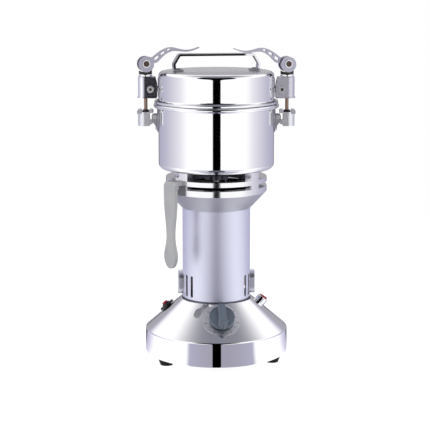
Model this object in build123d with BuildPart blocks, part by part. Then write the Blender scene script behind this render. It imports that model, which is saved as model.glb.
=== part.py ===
"""Electric grain mill: motor tube on a flared base, grinding bowl, lid with two draw latches.

Millimetres, +Z up. The origin is on the rest surface, on the axis of the motor.
The front of the mill looks along -Y.
"""

import os
from math import atan2, cos, degrees, radians, sin, tan

from build123d import *

os.makedirs("parts", exist_ok=True)

# ---------------------------------------------------------------- driving dimensions
running_gap = 0.05  # radial clearance of a shaft or pin that turns in its hole
sliding_gap = 0.25  # radial clearance of a push button in its bore
part_gap = 0.3  # clearance between bodies that move apart
right_through = 400.0  # longer than the mill, for cuts that run right through

body_turn = 6.0  # the lower body stands turned about Z by this angle, in degrees
front = -90.0 + body_turn  # azimuth of the front of the lower body

# feet and base
foot_height = 7.5
foot_top_r = 10.3
foot_bottom_r = 7.6
foot_inset = 12.8  # from the skirt to the middle of a foot
foot_count = 3
foot_screw_r = 2.0
base_r = 88.3
base_wall = 1.2
base_curl_r = 3.0
base_lip = 6.3  # width of the lip turned in under the skirt
skirt_height = 30.3
shoulder_r = 1.5
cone_height = 39.6
cone_top_step = 0.5  # the cone ends this much outside the tube
plate_wall = 1.2

# motor tube
tube_r = 42.0
tube_wall = 1.5
tube_length = 127.1
neck_depth = 15.0  # how deep the tube sits in the neck of the base
tube_fit = 0.15
tube_slot_length = 27.0
tube_slot_width = 4.0
tube_slot_angles = (52.0, 66.0, 114.0, 128.0)
tube_slot_height = 16.6  # middle of the slots above the top of the cone
cover_height = 30.0
cover_width = 22.0
cover_reach = 5.8
cover_turn = 3.0
cover_round = 1.4
brush_height = 17.6  # middle of the brushes above the top of the cone

# vented collar
collar_inset = 8.8  # from the wall of the bowl to the outside of the collar
collar_wall = 10.0
collar_cone_height = 21.0
collar_cone_wall = 3.0
collar_spigot = 6.0
lower_ring_height = 7.1
lower_slot_height = 5.0
middle_ring_height = 5.7
upper_slot_height = 9.7
post_width = 13.5
post_count = 4
post_turn = 4.5

# bowl and lid
bowl_r = 70.8
bowl_wall = 1.5
bowl_floor = 2.0
bowl_height = 80.3
bowl_corner_r = 7.0
bead_reach = 5.8
bead_height = 5.5
lid_inset = 0.3  # the wall of the lid stands this much inside the wall of the bowl
lid_wall = 1.2
lid_height = 38.4
lid_corner_r = 5.5
lid_lip_inset = 1.1  # from the bead to the edge of the lip
lid_lip_height = 3.0
lid_lip_fillet = 3.0

# bail handle on the lid
bail_width = 18.0
bail_thickness = 2.4
bail_turn = 8.5
bail_inset = 18.2  # from the wall of the lid to the feet
bail_spread = 1.1  # the knees stand this much outside the feet
bail_knee_height = 9.0
bail_taper = 5.5  # the top corners stand this much inside the feet
bail_height = 21.2
bail_tab = 11.0
bail_rounds = (1.3, 5.0, 3.0)  # at the feet, the knees and the top corners
rivet_head_r = 3.2
rivet_head_height = 1.5
rivet_shank_r = 1.6

# side handle
handle_azimuth = 220.0
handle_reach = 12.0
handle_thickness = 4.8
handle_drop = 106.5
handle_arm_thickness = 4.5
handle_top_width = 21.5
handle_neck_width = 14.3
handle_paddle_width = 21.0
screw_r = 2.0
screw_head_r = 3.5
screw_head_height = 1.9

# controls on the cone
control_shift = 3.15  # the knob and the breaker sit this much inside the middle of the cone
plate_r = 23.0
dial_thickness = 0.5
knob_r = 15.8
knob_disc = 6.5
knob_height = 13.5
knob_lift = 1.0
grip_width = 9.5
grip_end_width = 12.0
timer_shaft_r = 3.0
timer_width = 34.0
timer_height = 22.0
timer_depth = 16.0
timer_room = 0.7  # room between the curved cone and the flat top of the timer
breaker_azimuth = 170.0
breaker_flange_r = 9.75
breaker_flange = 2.8
breaker_boss_r = 5.1
breaker_boss = 4.9
button_r = 3.9
button_top = 7.3
button_travel = 1.5
switch_azimuth = 10.0
switch_reach = 13.0  # from the tube to the middle of the switch
bezel_r = 7.0
bezel_height = 7.0
bezel_step = 1.0  # from the bezel to the body in the hole
rocker_r = 5.2
rocker_height = 4.8
rocker_under = 1.6  # of that height, below the axis
rocker_pin_r = 0.8
rocker_tilt = 8.0
inlet_z = 22.0
inlet_r = 7.0
inlet_neck = 1.5  # from the flange to the neck in the hole
inlet_flange = 1.2

# motor
shaft_r = 4.0
bearing_r = 11.0
bearing_width = 7.0
stator_depth = 18.0  # from the tube to the rotor
air_gap = 0.6
core_length = 42.0
commutator_r = 12.0
fan_clearance = 6.0
fan_blades = 11
blade_clearance = 7.3  # from the tips of the blades to the wall of the bowl
blade_width = 15.0
blade_thickness = 2.0

# draw latches; distances are outward from the axis of the mill
lug_reach = 9.5  # from the wall of the lid to the hinge
rod_offset = 6.2  # from the hinge to the rod
rod_r = 2.15
hinge_pin_r = 1.5
yoke_gap = 1.1  # from the lug plate to the yoke
yoke_outward = 9.2  # from the rod to the outside of the yoke
yoke_half = 9.5
yoke_corner_r = 8.0
yoke_slot_half = 5.0
lug_half = 4.5
lug_eye_r = 3.5
lug_plate = 0.8
ring_r = 8.25
ring_height = 3.6
saddle_r = 8.1
saddle_height = 4.0
eye_r = 4.5
eye_half = 3.0
cam_r = 9.4
cam_offset = 0.8
cam_gap = 0.7
cam_pin_r = 2.0
lobe_outer = 8.5
lever_half = 3.0
lever_turn = 10.5
lever_length = 66.3
keeper_offset = 4.4  # from the wall of the bowl to the pin
keeper_pin_r = 1.5
hook_side_gap = 1.0
cheek_wall = 2.0
cheek_outward = 3.6  # from the pin to the outside of the cheeks
hook_gap = 0.4  # the open hook stands this much outside the pin
block_inward = 4.6  # from the rod
block_outward = 9.5  # from the rod
block_half = 8.5
hook_half = 4.0
nut_r = 4.4
hinge_lift = 16.7  # above the lip of the lid
yoke_lift = 6.0
yoke_height = 25.4
seat_depth = 2.3
hook_drop = 13.7  # below the bead of the bowl
pin_lift = 2.1  # the axis of the keeper pin above the top of the hook
cheek_rise = 3.3
shoulder_gap = 1.9
shoulder_height = 4.1
block_drop = 8.7
nut_rise = 1.0

# ---------------------------------------------------------------- radii and reaches that follow
foot_ring_r = base_r - foot_inset
base_lip_inner_r = base_r - base_lip
control_r = (base_r + tube_r) / 2 - control_shift
switch_r = tube_r + switch_reach
tube_inner_r = tube_r - tube_wall
collar_r = bowl_r - collar_inset
collar_inner_r = collar_r - collar_wall
bowl_inner_r = bowl_r - bowl_wall
bead_r = bowl_r + bead_reach
lid_r = bowl_r - lid_inset
lid_inner_r = lid_r - lid_wall
lid_lip_r = bead_r - lid_lip_inset
bail_foot = lid_r - bail_inset
bail_knee = bail_foot + bail_spread
bail_top = bail_foot - bail_taper
rotor_r = tube_inner_r - stator_depth
fan_r = collar_inner_r - fan_clearance
blade_reach = bowl_inner_r - blade_clearance
hinge_reach = lid_r + lug_reach
rod_reach = hinge_reach + rod_offset
yoke_inner = lid_r + lug_plate + yoke_gap
yoke_outer = rod_reach + yoke_outward
keeper_reach = bowl_r + keeper_offset
cheek_outer_reach = keeper_reach + cheek_outward
cheek_inner = hook_half + hook_side_gap
cheek_outer = cheek_inner + cheek_wall
hook_reach = keeper_reach + keeper_pin_r + hook_gap
block_inner = rod_reach - block_inward
block_outer = rod_reach + block_outward

# ---------------------------------------------------------------- heights that follow
skirt_bottom_z = foot_height
shoulder_z = skirt_bottom_z + skirt_height
cone_top_z = shoulder_z + cone_height
cone_top_r = tube_r + tube_fit + base_wall / 2
cone_slope = atan2(cone_height, base_r - tube_r - cone_top_step)
tube_bottom_z = cone_top_z - neck_depth
tube_top_z = tube_bottom_z + tube_length
ring_bottom_z = tube_top_z + collar_cone_height
lower_slot_z = ring_bottom_z + lower_ring_height
middle_ring_z = lower_slot_z + lower_slot_height
upper_slot_z = middle_ring_z + middle_ring_height
bowl_z = upper_slot_z + upper_slot_height
bead_z = bowl_z + bowl_height - bead_height
lip_z = bowl_z + bowl_height + part_gap
lid_top_z = lip_z + lid_height
timer_drop = (timer_width / 2) ** 2 * sin(cone_slope) / (2 * control_r) + timer_room

# latch heights
hinge_z = lip_z + hinge_lift
yoke_bottom_z = lip_z + yoke_lift
yoke_top_z = yoke_bottom_z + yoke_height
ring_z = yoke_top_z
saddle_z = ring_z + ring_height
seat_z = saddle_z + saddle_height - seat_depth
pivot_z = seat_z + cam_gap + cam_r + cam_offset
hook_top_z = bead_z - hook_drop
keeper_z = hook_top_z + pin_lift
cheek_top_z = keeper_z + cheek_rise
shoulder_bottom_z = cheek_top_z + shoulder_gap
block_bottom_z = hook_top_z - block_drop
nut_z = shoulder_bottom_z + nut_rise
shoulder_top_z = shoulder_bottom_z + shoulder_height


# ---------------------------------------------------------------- planes
def direction(azimuth):
    """Unit vector in the horizontal plane, azimuth in degrees from +X."""
    return cos(radians(azimuth)), sin(radians(azimuth))


def radial_section(azimuth, swivel=0.0, origin=(0, 0, 0)):
    """Vertical plane: local x points outward along the azimuth, local y points up."""
    x, y = direction(azimuth + swivel)
    return Plane(origin=origin, x_dir=(x, y, 0), z_dir=(y, -x, 0))


def tangent_plane(azimuth, r, z=0.0):
    """Vertical plane at radius r that faces outward: local x is sideways, local y is up."""
    x, y = direction(azimuth)
    return Plane(origin=(r * x, r * y, z), x_dir=(-y, x, 0), z_dir=(x, y, 0))


def radial_deck(azimuth, z):
    """Horizontal plane: local x points outward along the azimuth."""
    x, y = direction(azimuth)
    return Plane(origin=(0, 0, z), x_dir=(x, y, 0), z_dir=(0, 0, 1))


def cone_plane(azimuth, r):
    """Plane that touches the cone of the base: its z is the outward normal, its y goes uphill."""
    x, y = direction(azimuth)
    z = cone_z(r)
    normal = (sin(cone_slope) * x, sin(cone_slope) * y, cos(cone_slope))
    return Plane(origin=(r * x, r * y, z), x_dir=(-y, x, 0), z_dir=normal)


def cone_z(r):
    """Height of the outside of the cone at radius r."""
    return shoulder_z + (base_r - r) * tan(cone_slope)


knob_plane = cone_plane(front, control_r)
breaker_plane = cone_plane(breaker_azimuth, control_r)
switch_plane = cone_plane(switch_azimuth, switch_r)
foot_angles = [front + 180 + 360 / foot_count * i for i in range(foot_count)]
post_angles = [-90 + post_turn + 45 + 360 / post_count * i for i in range(post_count)]


def finish(part, name):
    """Label a finished piece and write it."""
    part.label = name
    export_step(part, f"parts/{name}.step")


# ---------------------------------------------------------------- base
with BuildPart() as base_shell:
    # one sheet: lip, curl, skirt, cone and the neck that holds the tube
    half = base_wall / 2
    with BuildSketch(Plane.XZ):
        with BuildLine():
            FilletPolyline(
                (base_lip_inner_r, skirt_bottom_z + half),
                (base_r - half, skirt_bottom_z + half),
                (base_r - half, cone_z(base_r - half) - half / cos(cone_slope)),
                (cone_top_r, cone_z(cone_top_r) - half / cos(cone_slope)),
                (cone_top_r, tube_bottom_z),
                radius=[base_curl_r - half, shoulder_r, 1.0],
            )
        trace(line_width=base_wall)
    revolve(axis=Axis.Z)
    for plane, hole_r in (
        (knob_plane, timer_shaft_r + part_gap),
        (breaker_plane, breaker_boss_r),
        (switch_plane, bezel_r - bezel_step),
        (tangent_plane(front + 180, base_r, inlet_z), inlet_r - inlet_neck),
    ):
        with BuildSketch(plane):
            Circle(hole_r)
        extrude(amount=4 * base_wall, both=True, mode=Mode.SUBTRACT)
finish(base_shell.part, "base_shell")

vent_inset = 30.5
vent_count = 8
vent_length = 24.0
vent_width = 4.0
with BuildPart() as base_plate:
    # a pan whose stepped rim lies on the lip of the shell
    step_r = base_lip_inner_r - 2 * plate_wall
    with BuildSketch(Plane.XZ):
        with BuildLine():
            Polyline(
                (0, skirt_bottom_z),
                (base_lip_inner_r - part_gap, skirt_bottom_z),
                (base_lip_inner_r - part_gap, skirt_bottom_z + base_wall),
                (base_r - base_curl_r, skirt_bottom_z + base_wall),
                (base_r - base_curl_r, skirt_bottom_z + base_wall + plate_wall),
                (step_r, skirt_bottom_z + base_wall + plate_wall),
                (step_r, skirt_bottom_z + plate_wall),
                (0, skirt_bottom_z + plate_wall),
                close=True,
            )
        make_face()
    revolve(axis=Axis.Z)
    with BuildSketch(Plane.XY.offset(skirt_bottom_z)):
        with PolarLocations(foot_ring_r, foot_count, start_angle=foot_angles[0]):
            Circle(foot_screw_r)
        with PolarLocations(foot_ring_r - vent_inset, vent_count, start_angle=front):
            SlotOverall(vent_length, vent_width)
    extrude(amount=plate_wall, mode=Mode.SUBTRACT)
finish(base_plate.part, "base_plate")

foot_bore_r = 4.2
foot_bore_depth = 4.0
foot_head_height = 2.2
foot_nut_height = 3.2
with BuildPart() as rubber_feet:
    for angle in foot_angles:
        x, y = direction(angle)
        with Locations((foot_ring_r * x, foot_ring_r * y, foot_height / 2)):
            Cone(foot_bottom_r, foot_top_r, foot_height)
            Hole(foot_screw_r)
        with Locations((foot_ring_r * x, foot_ring_r * y, foot_bore_depth / 2)):
            Cylinder(foot_bore_r, foot_bore_depth, mode=Mode.SUBTRACT)
finish(rubber_feet.part, "rubber_feet")

foot_nut_z = skirt_bottom_z + plate_wall
with BuildPart() as foot_screws:
    for angle in foot_angles:
        x, y = direction(angle)
        foot_origin = (foot_ring_r * x, foot_ring_r * y, 0)
        with BuildSketch(radial_section(angle, origin=foot_origin)):
            with BuildLine():
                Polyline(
                    (0, foot_bore_depth - foot_head_height),
                    (screw_head_r, foot_bore_depth - foot_head_height),
                    (screw_head_r, foot_bore_depth),
                    (foot_screw_r, foot_bore_depth),
                    (foot_screw_r, foot_nut_z),
                    (screw_head_r, foot_nut_z),
                    (screw_head_r, foot_nut_z + foot_nut_height),
                    (0, foot_nut_z + foot_nut_height),
                    close=True,
                )
            make_face()
        revolve(axis=Axis(origin=foot_origin, direction=(0, 0, 1)))
finish(foot_screws.part, "foot_screws")

# ---------------------------------------------------------------- motor tube and its covers
brush_z = cone_top_z + brush_height
window_height = 12.0
window_width = 10.0
with BuildPart() as motor_tube:
    with BuildSketch(Plane.XY.offset(tube_bottom_z)):
        Circle(tube_r)
        Circle(tube_inner_r, mode=Mode.SUBTRACT)
    extrude(amount=tube_length)
    for side in (-1, 1):
        for angle in tube_slot_angles:
            with BuildSketch(tangent_plane(front + side * angle, 0, cone_top_z + tube_slot_height)):
                SlotOverall(tube_slot_length, tube_slot_width, rotation=90)
            extrude(amount=right_through, mode=Mode.SUBTRACT)
        with BuildSketch(tangent_plane(front + side * 90, 0, brush_z)):
            Rectangle(window_width, window_height)
        extrude(amount=right_through, mode=Mode.SUBTRACT)
finish(motor_tube.part, "motor_tube")

with BuildPart() as brush_covers:
    for side in (-1, 1):
        with BuildSketch(tangent_plane(front - body_turn + cover_turn + side * 90, tube_inner_r, brush_z)):
            SlotOverall(cover_height, cover_width, rotation=90)
        extrude(amount=tube_wall + cover_reach)
    fillet(brush_covers.faces().sort_by(Axis.X)[0].edges(), cover_round)
    fillet(brush_covers.faces().sort_by(Axis.X)[-1].edges(), cover_round)
    Cylinder(tube_r, 2 * right_through, mode=Mode.SUBTRACT)
finish(brush_covers.part, "brush_covers")

brush_width = 7.0
brush_rise = 6.0
holder_gap = 1.0
holder_inner_gap = 6.0
with BuildPart() as brush_holders:
    for side in (-1, 1):
        with BuildSketch(tangent_plane(front + side * 90, 0, brush_z)):
            Rectangle(window_width, window_height - 2 * holder_gap)
            Rectangle(brush_width, brush_rise, mode=Mode.SUBTRACT)
        extrude(amount=right_through)
    Cylinder(commutator_r + holder_inner_gap, 2 * right_through, mode=Mode.SUBTRACT)
    Cylinder(tube_r, 2 * right_through, mode=Mode.INTERSECT)
finish(brush_holders.part, "brush_holders")

with BuildPart() as carbon_brushes:
    for side in (-1, 1):
        with BuildSketch(tangent_plane(front + side * 90, 0, brush_z)):
            Rectangle(brush_width, brush_rise)
        extrude(amount=(commutator_r + tube_inner_r) / 2 + brush_width / 4)
    Cylinder(commutator_r + part_gap, 2 * right_through, mode=Mode.SUBTRACT)
finish(carbon_brushes.part, "carbon_brushes")

# ---------------------------------------------------------------- motor
core_lift = 30.0  # the core above the brushes
lower_bearing_drop = 9.0  # below the top of the cone
upper_bearing_drop = 2.3  # below the upper slots
core_z = brush_z + core_lift
lower_bearing_z = cone_top_z - lower_bearing_drop
upper_bearing_z = upper_slot_z - upper_bearing_drop
bore_r = rotor_r + air_gap
window_shift = 5.0
window_depth = 16.0
window_span = 24.0
with BuildPart() as stator_core:
    with BuildSketch(Plane.XY.offset(core_z)):
        Circle(tube_inner_r)
        Circle(bore_r, mode=Mode.SUBTRACT)
        with PolarLocations(0, 2, start_angle=front):
            with Locations((bore_r + window_shift, 0)):
                Rectangle(window_depth, window_span, mode=Mode.SUBTRACT)
    extrude(amount=core_length)
finish(stator_core.part, "stator_core")

coil_gap = 1.2
coil_depth = 9.8
coil_rise = 9.0
coil_split = 3.0
coil_inner_r = bore_r + coil_gap
coil_outer_r = coil_inner_r + coil_depth
coil_end_gap = 1.0
with BuildPart() as stator_coils:
    # one saddle coil round each pole: straight sides in the windows, arched ends above and below
    with BuildSketch(Plane.XY.offset(core_z - coil_rise)):
        Circle(coil_outer_r)
        Circle(coil_inner_r, mode=Mode.SUBTRACT)
        Rectangle(right_through, coil_split, rotation=front, mode=Mode.SUBTRACT)
    extrude(amount=core_length + 2 * coil_rise)
    with BuildSketch(Plane.XY.offset(core_z - coil_end_gap)):
        Circle(coil_outer_r + coil_gap)
        Rectangle(right_through, window_span - 2 * coil_end_gap, rotation=front, mode=Mode.SUBTRACT)
    extrude(amount=core_length + 2 * coil_end_gap, mode=Mode.SUBTRACT)
finish(stator_coils.part, "stator_coils")


hub_wall = 4.0
hub_lip = 1.5  # above and below the bearing
arm_thickness = 5.0


def bearing_spider(name, bearing_z, reach, arms, arm_width, start_angle):
    """Bracket with a bearing pocket and arms that reach the housing."""
    z = bearing_z - hub_lip
    height = bearing_width + 2 * hub_lip
    with BuildPart() as spider:
        with BuildSketch(Plane.XY.offset(z)):
            Circle(bearing_r + hub_wall)
        extrude(amount=height)
        with BuildSketch(Plane.XY.offset(z + height / 2)):
            with PolarLocations(reach / 2, arms, start_angle=start_angle):
                Rectangle(reach, arm_width)
            Circle(reach, mode=Mode.INTERSECT)
        extrude(amount=arm_thickness)
        with BuildSketch(Plane.XY.offset(bearing_z)):
            Circle(bearing_r)
        extrude(amount=bearing_width, mode=Mode.SUBTRACT)
        with BuildSketch(Plane.XY.offset(z)):
            Circle(shaft_r + hub_lip)
        extrude(amount=height, mode=Mode.SUBTRACT)
    finish(spider.part, name)


lower_arm_width = 11.0
upper_arm_width = 12.0
bearing_spider("lower_bearing_bracket", lower_bearing_z, tube_inner_r, 3, lower_arm_width, front + 90)
bearing_spider(
    "upper_bearing_bracket", upper_bearing_z, collar_inner_r, post_count, upper_arm_width, post_angles[0]
)

with BuildPart() as bearings:
    for z in (lower_bearing_z, upper_bearing_z):
        with BuildSketch(Plane.XY.offset(z)):
            Circle(bearing_r)
            Circle(shaft_r + running_gap, mode=Mode.SUBTRACT)
        extrude(amount=bearing_width)
finish(bearings.part, "bearings")

flange_lift = 3.0  # the shaft's flange above the floor of the bowl
flange_height = 3.0
spacer_height = 14.0
spacer_r = 9.0
thread_length = 9.0
shaft_tail = 3.0  # below the lower bearing
flange_z = bowl_z + bowl_floor + flange_lift
blade_seat_z = flange_z + flange_height
upper_blade_z = blade_seat_z + blade_thickness + spacer_height
nut_seat_z = upper_blade_z + blade_thickness
shaft_top_z = nut_seat_z + thread_length
with BuildPart() as motor_shaft:
    with BuildSketch(Plane.XZ):
        with BuildLine():
            Polyline(
                (0, lower_bearing_z - shaft_tail),
                (shaft_r, lower_bearing_z - shaft_tail),
                (shaft_r, flange_z),
                (spacer_r, flange_z),
                (spacer_r, blade_seat_z),
                (shaft_r, blade_seat_z),
                (shaft_r, shaft_top_z),
                (0, shaft_top_z),
                close=True,
            )
        make_face()
    revolve(axis=Axis.Z)
    chamfer(motor_shaft.edges().filter_by(GeomType.CIRCLE).sort_by(Axis.Z)[-1], 0.6)
finish(motor_shaft.part, "motor_shaft")

rotor_slots = 12
rotor_slot_depth = 9.0
rotor_slot_width = 2.6
with BuildPart() as rotor_core:
    with BuildSketch(Plane.XY.offset(core_z)):
        Circle(rotor_r)
        Circle(shaft_r, mode=Mode.SUBTRACT)
        with PolarLocations(rotor_r, rotor_slots):
            Rectangle(2 * rotor_slot_depth, rotor_slot_width, mode=Mode.SUBTRACT)
    extrude(amount=core_length)
finish(rotor_core.part, "rotor_core")

commutator_length = 18.0
riser_height = 3.0
riser_step = 2.0
with BuildPart() as commutator:
    with BuildSketch(Plane.XY.offset(brush_z - commutator_length / 2)):
        Circle(commutator_r)
        Circle(shaft_r, mode=Mode.SUBTRACT)
    extrude(amount=commutator_length)
    with BuildSketch(Plane.XY.offset(brush_z + commutator_length / 2 - riser_height)):
        Circle(commutator_r + riser_step)
        Circle(shaft_r, mode=Mode.SUBTRACT)
    extrude(amount=riser_height)
finish(commutator.part, "commutator")

fan_drop = 5.0  # below the lower ring
fan_height = 13.0
fan_plate = 1.6
fan_hub_r = 9.0
fan_lean = 20.0  # of the blades from the radius, in degrees
fan_z = ring_bottom_z - fan_drop
with BuildPart() as cooling_fan:
    with BuildSketch(Plane.XY.offset(fan_z)):
        Circle(fan_r)
    extrude(amount=fan_plate)
    with BuildSketch(Plane.XY.offset(fan_z)):
        Circle(fan_hub_r)
    extrude(amount=fan_height)
    with BuildSketch(Plane.XY.offset(fan_z)):
        with PolarLocations(0.65 * fan_r, fan_blades):
            Rectangle(0.65 * fan_r, fan_plate, rotation=fan_lean)
        Circle(fan_r, mode=Mode.INTERSECT)
    extrude(amount=fan_height)
    with BuildSketch(Plane.XY.offset(fan_z)):
        Circle(shaft_r)
    extrude(amount=fan_height, mode=Mode.SUBTRACT)
finish(cooling_fan.part, "cooling_fan")


blade_bend = 0.6  # share of the reach at which a blade bends
blade_overlap = 3.7  # the flat middle runs on past the bend
edge_share = 0.8  # the tip is ground to this share of the thickness
hub_step = 2.0
blade_sweep = 9.0
lower_tip = -3.0
upper_tip = 8.0


def grinding_blade(z, sweep, tip_up):
    """Two-armed blade; the tips are swept back and bent by tip_up millimetres."""
    half_width = blade_width / 2
    bend_r = blade_reach * blade_bend
    with BuildPart() as blade:
        with BuildSketch(Plane.XY.offset(z)):
            Circle(spacer_r + hub_step)
            Rectangle(2 * (bend_r + blade_overlap), blade_width)
        extrude(amount=blade_thickness)
        for turn in (0, 180):
            root = radial_section(turn)
            with BuildSketch(root):
                with BuildLine():
                    Polyline(
                        (bend_r, z),
                        (blade_reach, z + tip_up),
                        (blade_reach, z + tip_up + blade_thickness * edge_share),
                        (bend_r, z + blade_thickness),
                        close=True,
                    )
                make_face()
            extrude(amount=half_width, both=True)
            with BuildSketch(radial_deck(turn, z - abs(tip_up))):
                with BuildLine():
                    Polyline(
                        (bend_r, half_width),
                        (blade_reach + part_gap, half_width),
                        (blade_reach + part_gap, half_width - sweep),
                        close=True,
                    )
                make_face()
            extrude(amount=2 * abs(tip_up) + blade_thickness, mode=Mode.SUBTRACT)
        with BuildSketch(Plane.XY.offset(z)):
            Circle(shaft_r)
        extrude(amount=blade_thickness, mode=Mode.SUBTRACT)
    return blade.part


finish(grinding_blade(blade_seat_z, blade_sweep, lower_tip), "lower_blade")
finish(grinding_blade(upper_blade_z, blade_sweep, upper_tip).rotate(Axis.Z, 90), "upper_blade")

with BuildPart() as blade_spacer:
    with BuildSketch(Plane.XY.offset(blade_seat_z + blade_thickness)):
        Circle(spacer_r)
        Circle(shaft_r, mode=Mode.SUBTRACT)
    extrude(amount=spacer_height)
finish(blade_spacer.part, "blade_spacer")

nut_half = 6.5
nut_flange = 1.2
nut_cap = 2.0
nut_chamfer = 1.0
with BuildPart() as blade_nut:
    with BuildSketch(Plane.XY.offset(nut_seat_z)):
        Circle(nut_half + hub_step)
    extrude(amount=nut_flange)
    with BuildSketch(Plane.XY.offset(nut_seat_z)):
        RegularPolygon(nut_half, 6, major_radius=False)
    extrude(amount=thread_length + nut_cap)
    chamfer(blade_nut.faces().sort_by(Axis.Z)[-1].edges(), nut_chamfer)
    with BuildSketch(Plane.XY.offset(nut_seat_z)):
        Circle(shaft_r)
    extrude(amount=shaft_top_z - nut_seat_z, mode=Mode.SUBTRACT)
finish(blade_nut.part, "blade_nut")

# ---------------------------------------------------------------- screws and rivets
arm_z = middle_ring_z + middle_ring_height / 2
keeper_plate = 1.6
keeper_plate_height = 28.3
keeper_plate_top = bead_z - 1.1
keeper_plate_bottom = keeper_plate_top - keeper_plate_height
keeper_screw_lift = 5.0
keeper_screw_z = keeper_plate_bottom + keeper_screw_lift
bowl_screw_length = 8.0
handle_screw_gap = 12.0
screw_seat = 0.4  # the heads stand this much off the round wall inside the collar
screw_bite = 8.0  # how far the screws go into the arm of the side handle


def pan_screw(plane, shank):
    """Pan-head screw: the head stands on the plane, the shank goes in."""
    with BuildPart() as one:
        with BuildSketch(plane):
            Circle(screw_head_r)
        extrude(amount=screw_head_height)
        with BuildSketch(plane):
            Circle(screw_r)
        extrude(amount=-shank)
    return one.part


screw_places = []
for angle in post_angles:
    x, y = direction(angle)
    mid_r = (collar_r + collar_inner_r) / 2
    screw_places.append((Plane(origin=(mid_r * x, mid_r * y, bowl_z + bowl_floor)), bowl_screw_length))
for azimuth in (180, 0):
    screw_places.append(
        (tangent_plane(azimuth, bowl_r + keeper_plate, keeper_screw_z), keeper_plate + bowl_wall)
    )
for offset in (-handle_screw_gap / 2, handle_screw_gap / 2):
    x, y = direction(handle_azimuth)
    seat_r = collar_inner_r - screw_seat
    seat = Plane(
        origin=(seat_r * x - offset * y, seat_r * y + offset * x, arm_z), x_dir=(-y, x, 0), z_dir=(-x, -y, 0)
    )
    screw_places.append((seat, collar_wall + screw_bite))
with BuildPart() as pan_screws:
    for plane, shank in screw_places:
        add(pan_screw(plane, shank))
finish(pan_screws.part, "pan_screws")

lug_plate_half = 21.0
lug_plate_lift = 7.4
lug_plate_height = 23.0
lug_rivet_y = 17.0
tab_rivet_share = 0.55  # where the rivet sits along the tab of the bail


def rivet(plane, grip):
    """Dome-headed rivet: the head stands on the plane, the shank goes in by grip."""
    with BuildPart() as one:
        with BuildSketch(plane):
            Circle(rivet_head_r)
        extrude(amount=rivet_head_height)
        chamfer(one.faces().sort_by(Axis(plane.origin, plane.z_dir))[-1].edges(), rivet_head_height * 0.6)
        with BuildSketch(plane):
            Circle(rivet_shank_r)
        extrude(amount=-grip)
    return one.part


rivet_planes = []
for side in (-1, 1):
    x, y = direction(bail_turn)
    reach = side * (bail_foot - bail_tab * tab_rivet_share)
    tab_top_z = lid_top_z + bail_thickness
    rivet_planes.append((Plane(origin=(reach * x, reach * y, tab_top_z)), bail_thickness + lid_wall))
for azimuth in (180, 0):
    for side in (-1, 1):
        spread = degrees(lug_rivet_y / lid_r)
        rivet_planes.append(
            (tangent_plane(azimuth + side * spread, lid_r + lug_plate, hinge_z), lug_plate + lid_wall)
        )
with BuildPart() as lid_rivets:
    for plane, grip in rivet_planes:
        add(rivet(plane, grip))
finish(lid_rivets.part, "lid_rivets")

# ---------------------------------------------------------------- vented collar
with BuildPart() as vent_collar:
    with BuildSketch(Plane.XZ):
        with BuildLine():
            Polyline(
                (tube_r + cone_top_step, tube_top_z),
                (collar_r, ring_bottom_z),
                (collar_r, lower_slot_z),
                (collar_inner_r, lower_slot_z),
                (collar_inner_r, ring_bottom_z - 3),
                (tube_inner_r - collar_cone_wall, tube_top_z + 1),
                (tube_inner_r - collar_cone_wall, tube_top_z - collar_spigot),
                (tube_inner_r, tube_top_z - collar_spigot),
                (tube_inner_r, tube_top_z),
                close=True,
            )
        make_face()
    revolve(axis=Axis.Z)
    with BuildSketch(Plane.XY.offset(middle_ring_z)):
        Circle(collar_r)
        Circle(collar_inner_r, mode=Mode.SUBTRACT)
    extrude(amount=middle_ring_height)
    with BuildSketch(Plane.XY.offset(lower_slot_z)):
        with PolarLocations(collar_r, post_count, start_angle=post_angles[0]):
            Rectangle(4 * collar_wall, post_width)
        Circle(collar_r, mode=Mode.INTERSECT)
        Circle(collar_inner_r, mode=Mode.SUBTRACT)
    extrude(amount=bowl_z - lower_slot_z)
    add(pan_screws.part, mode=Mode.SUBTRACT)
finish(vent_collar.part, "vent_collar")

# ---------------------------------------------------------------- bowl
seal_r = 10.0
bead_round = 2.6
seam_azimuth = 20.0  # the seam of the turned wall stays clear of the screw holes
with BuildPart() as bowl:
    with BuildSketch(radial_section(seam_azimuth)):
        with BuildLine():
            FilletPolyline(
                (seal_r, bowl_z),
                (bowl_r, bowl_z),
                (bowl_r, bead_z),
                (bead_r, bead_z),
                (bead_r, bead_z + bead_height),
                (bowl_inner_r, bead_z + bead_height),
                (bowl_inner_r, bowl_z + bowl_floor),
                (seal_r, bowl_z + bowl_floor),
                radius=[bowl_corner_r, 0.4, bead_round, bead_round, 0.4, bowl_corner_r - bowl_wall],
            )
            Line((seal_r, bowl_z + bowl_floor), (seal_r, bowl_z))
        make_face()
    revolve(axis=Axis.Z)
    add(pan_screws.part, mode=Mode.SUBTRACT)
finish(bowl.part, "bowl")

with BuildPart() as shaft_seal:
    with BuildSketch(Plane.XZ):
        with BuildLine():
            Polyline(
                (shaft_r + 2 * running_gap, bowl_z - 1.5),
                (seal_r + 2, bowl_z - 1.5),
                (seal_r + 2, bowl_z),
                (seal_r, bowl_z),
                (seal_r, bowl_z + bowl_floor),
                (shaft_r + 2 * running_gap, bowl_z + bowl_floor),
                close=True,
            )
        make_face()
    revolve(axis=Axis.Z)
finish(shaft_seal.part, "shaft_seal")

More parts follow.
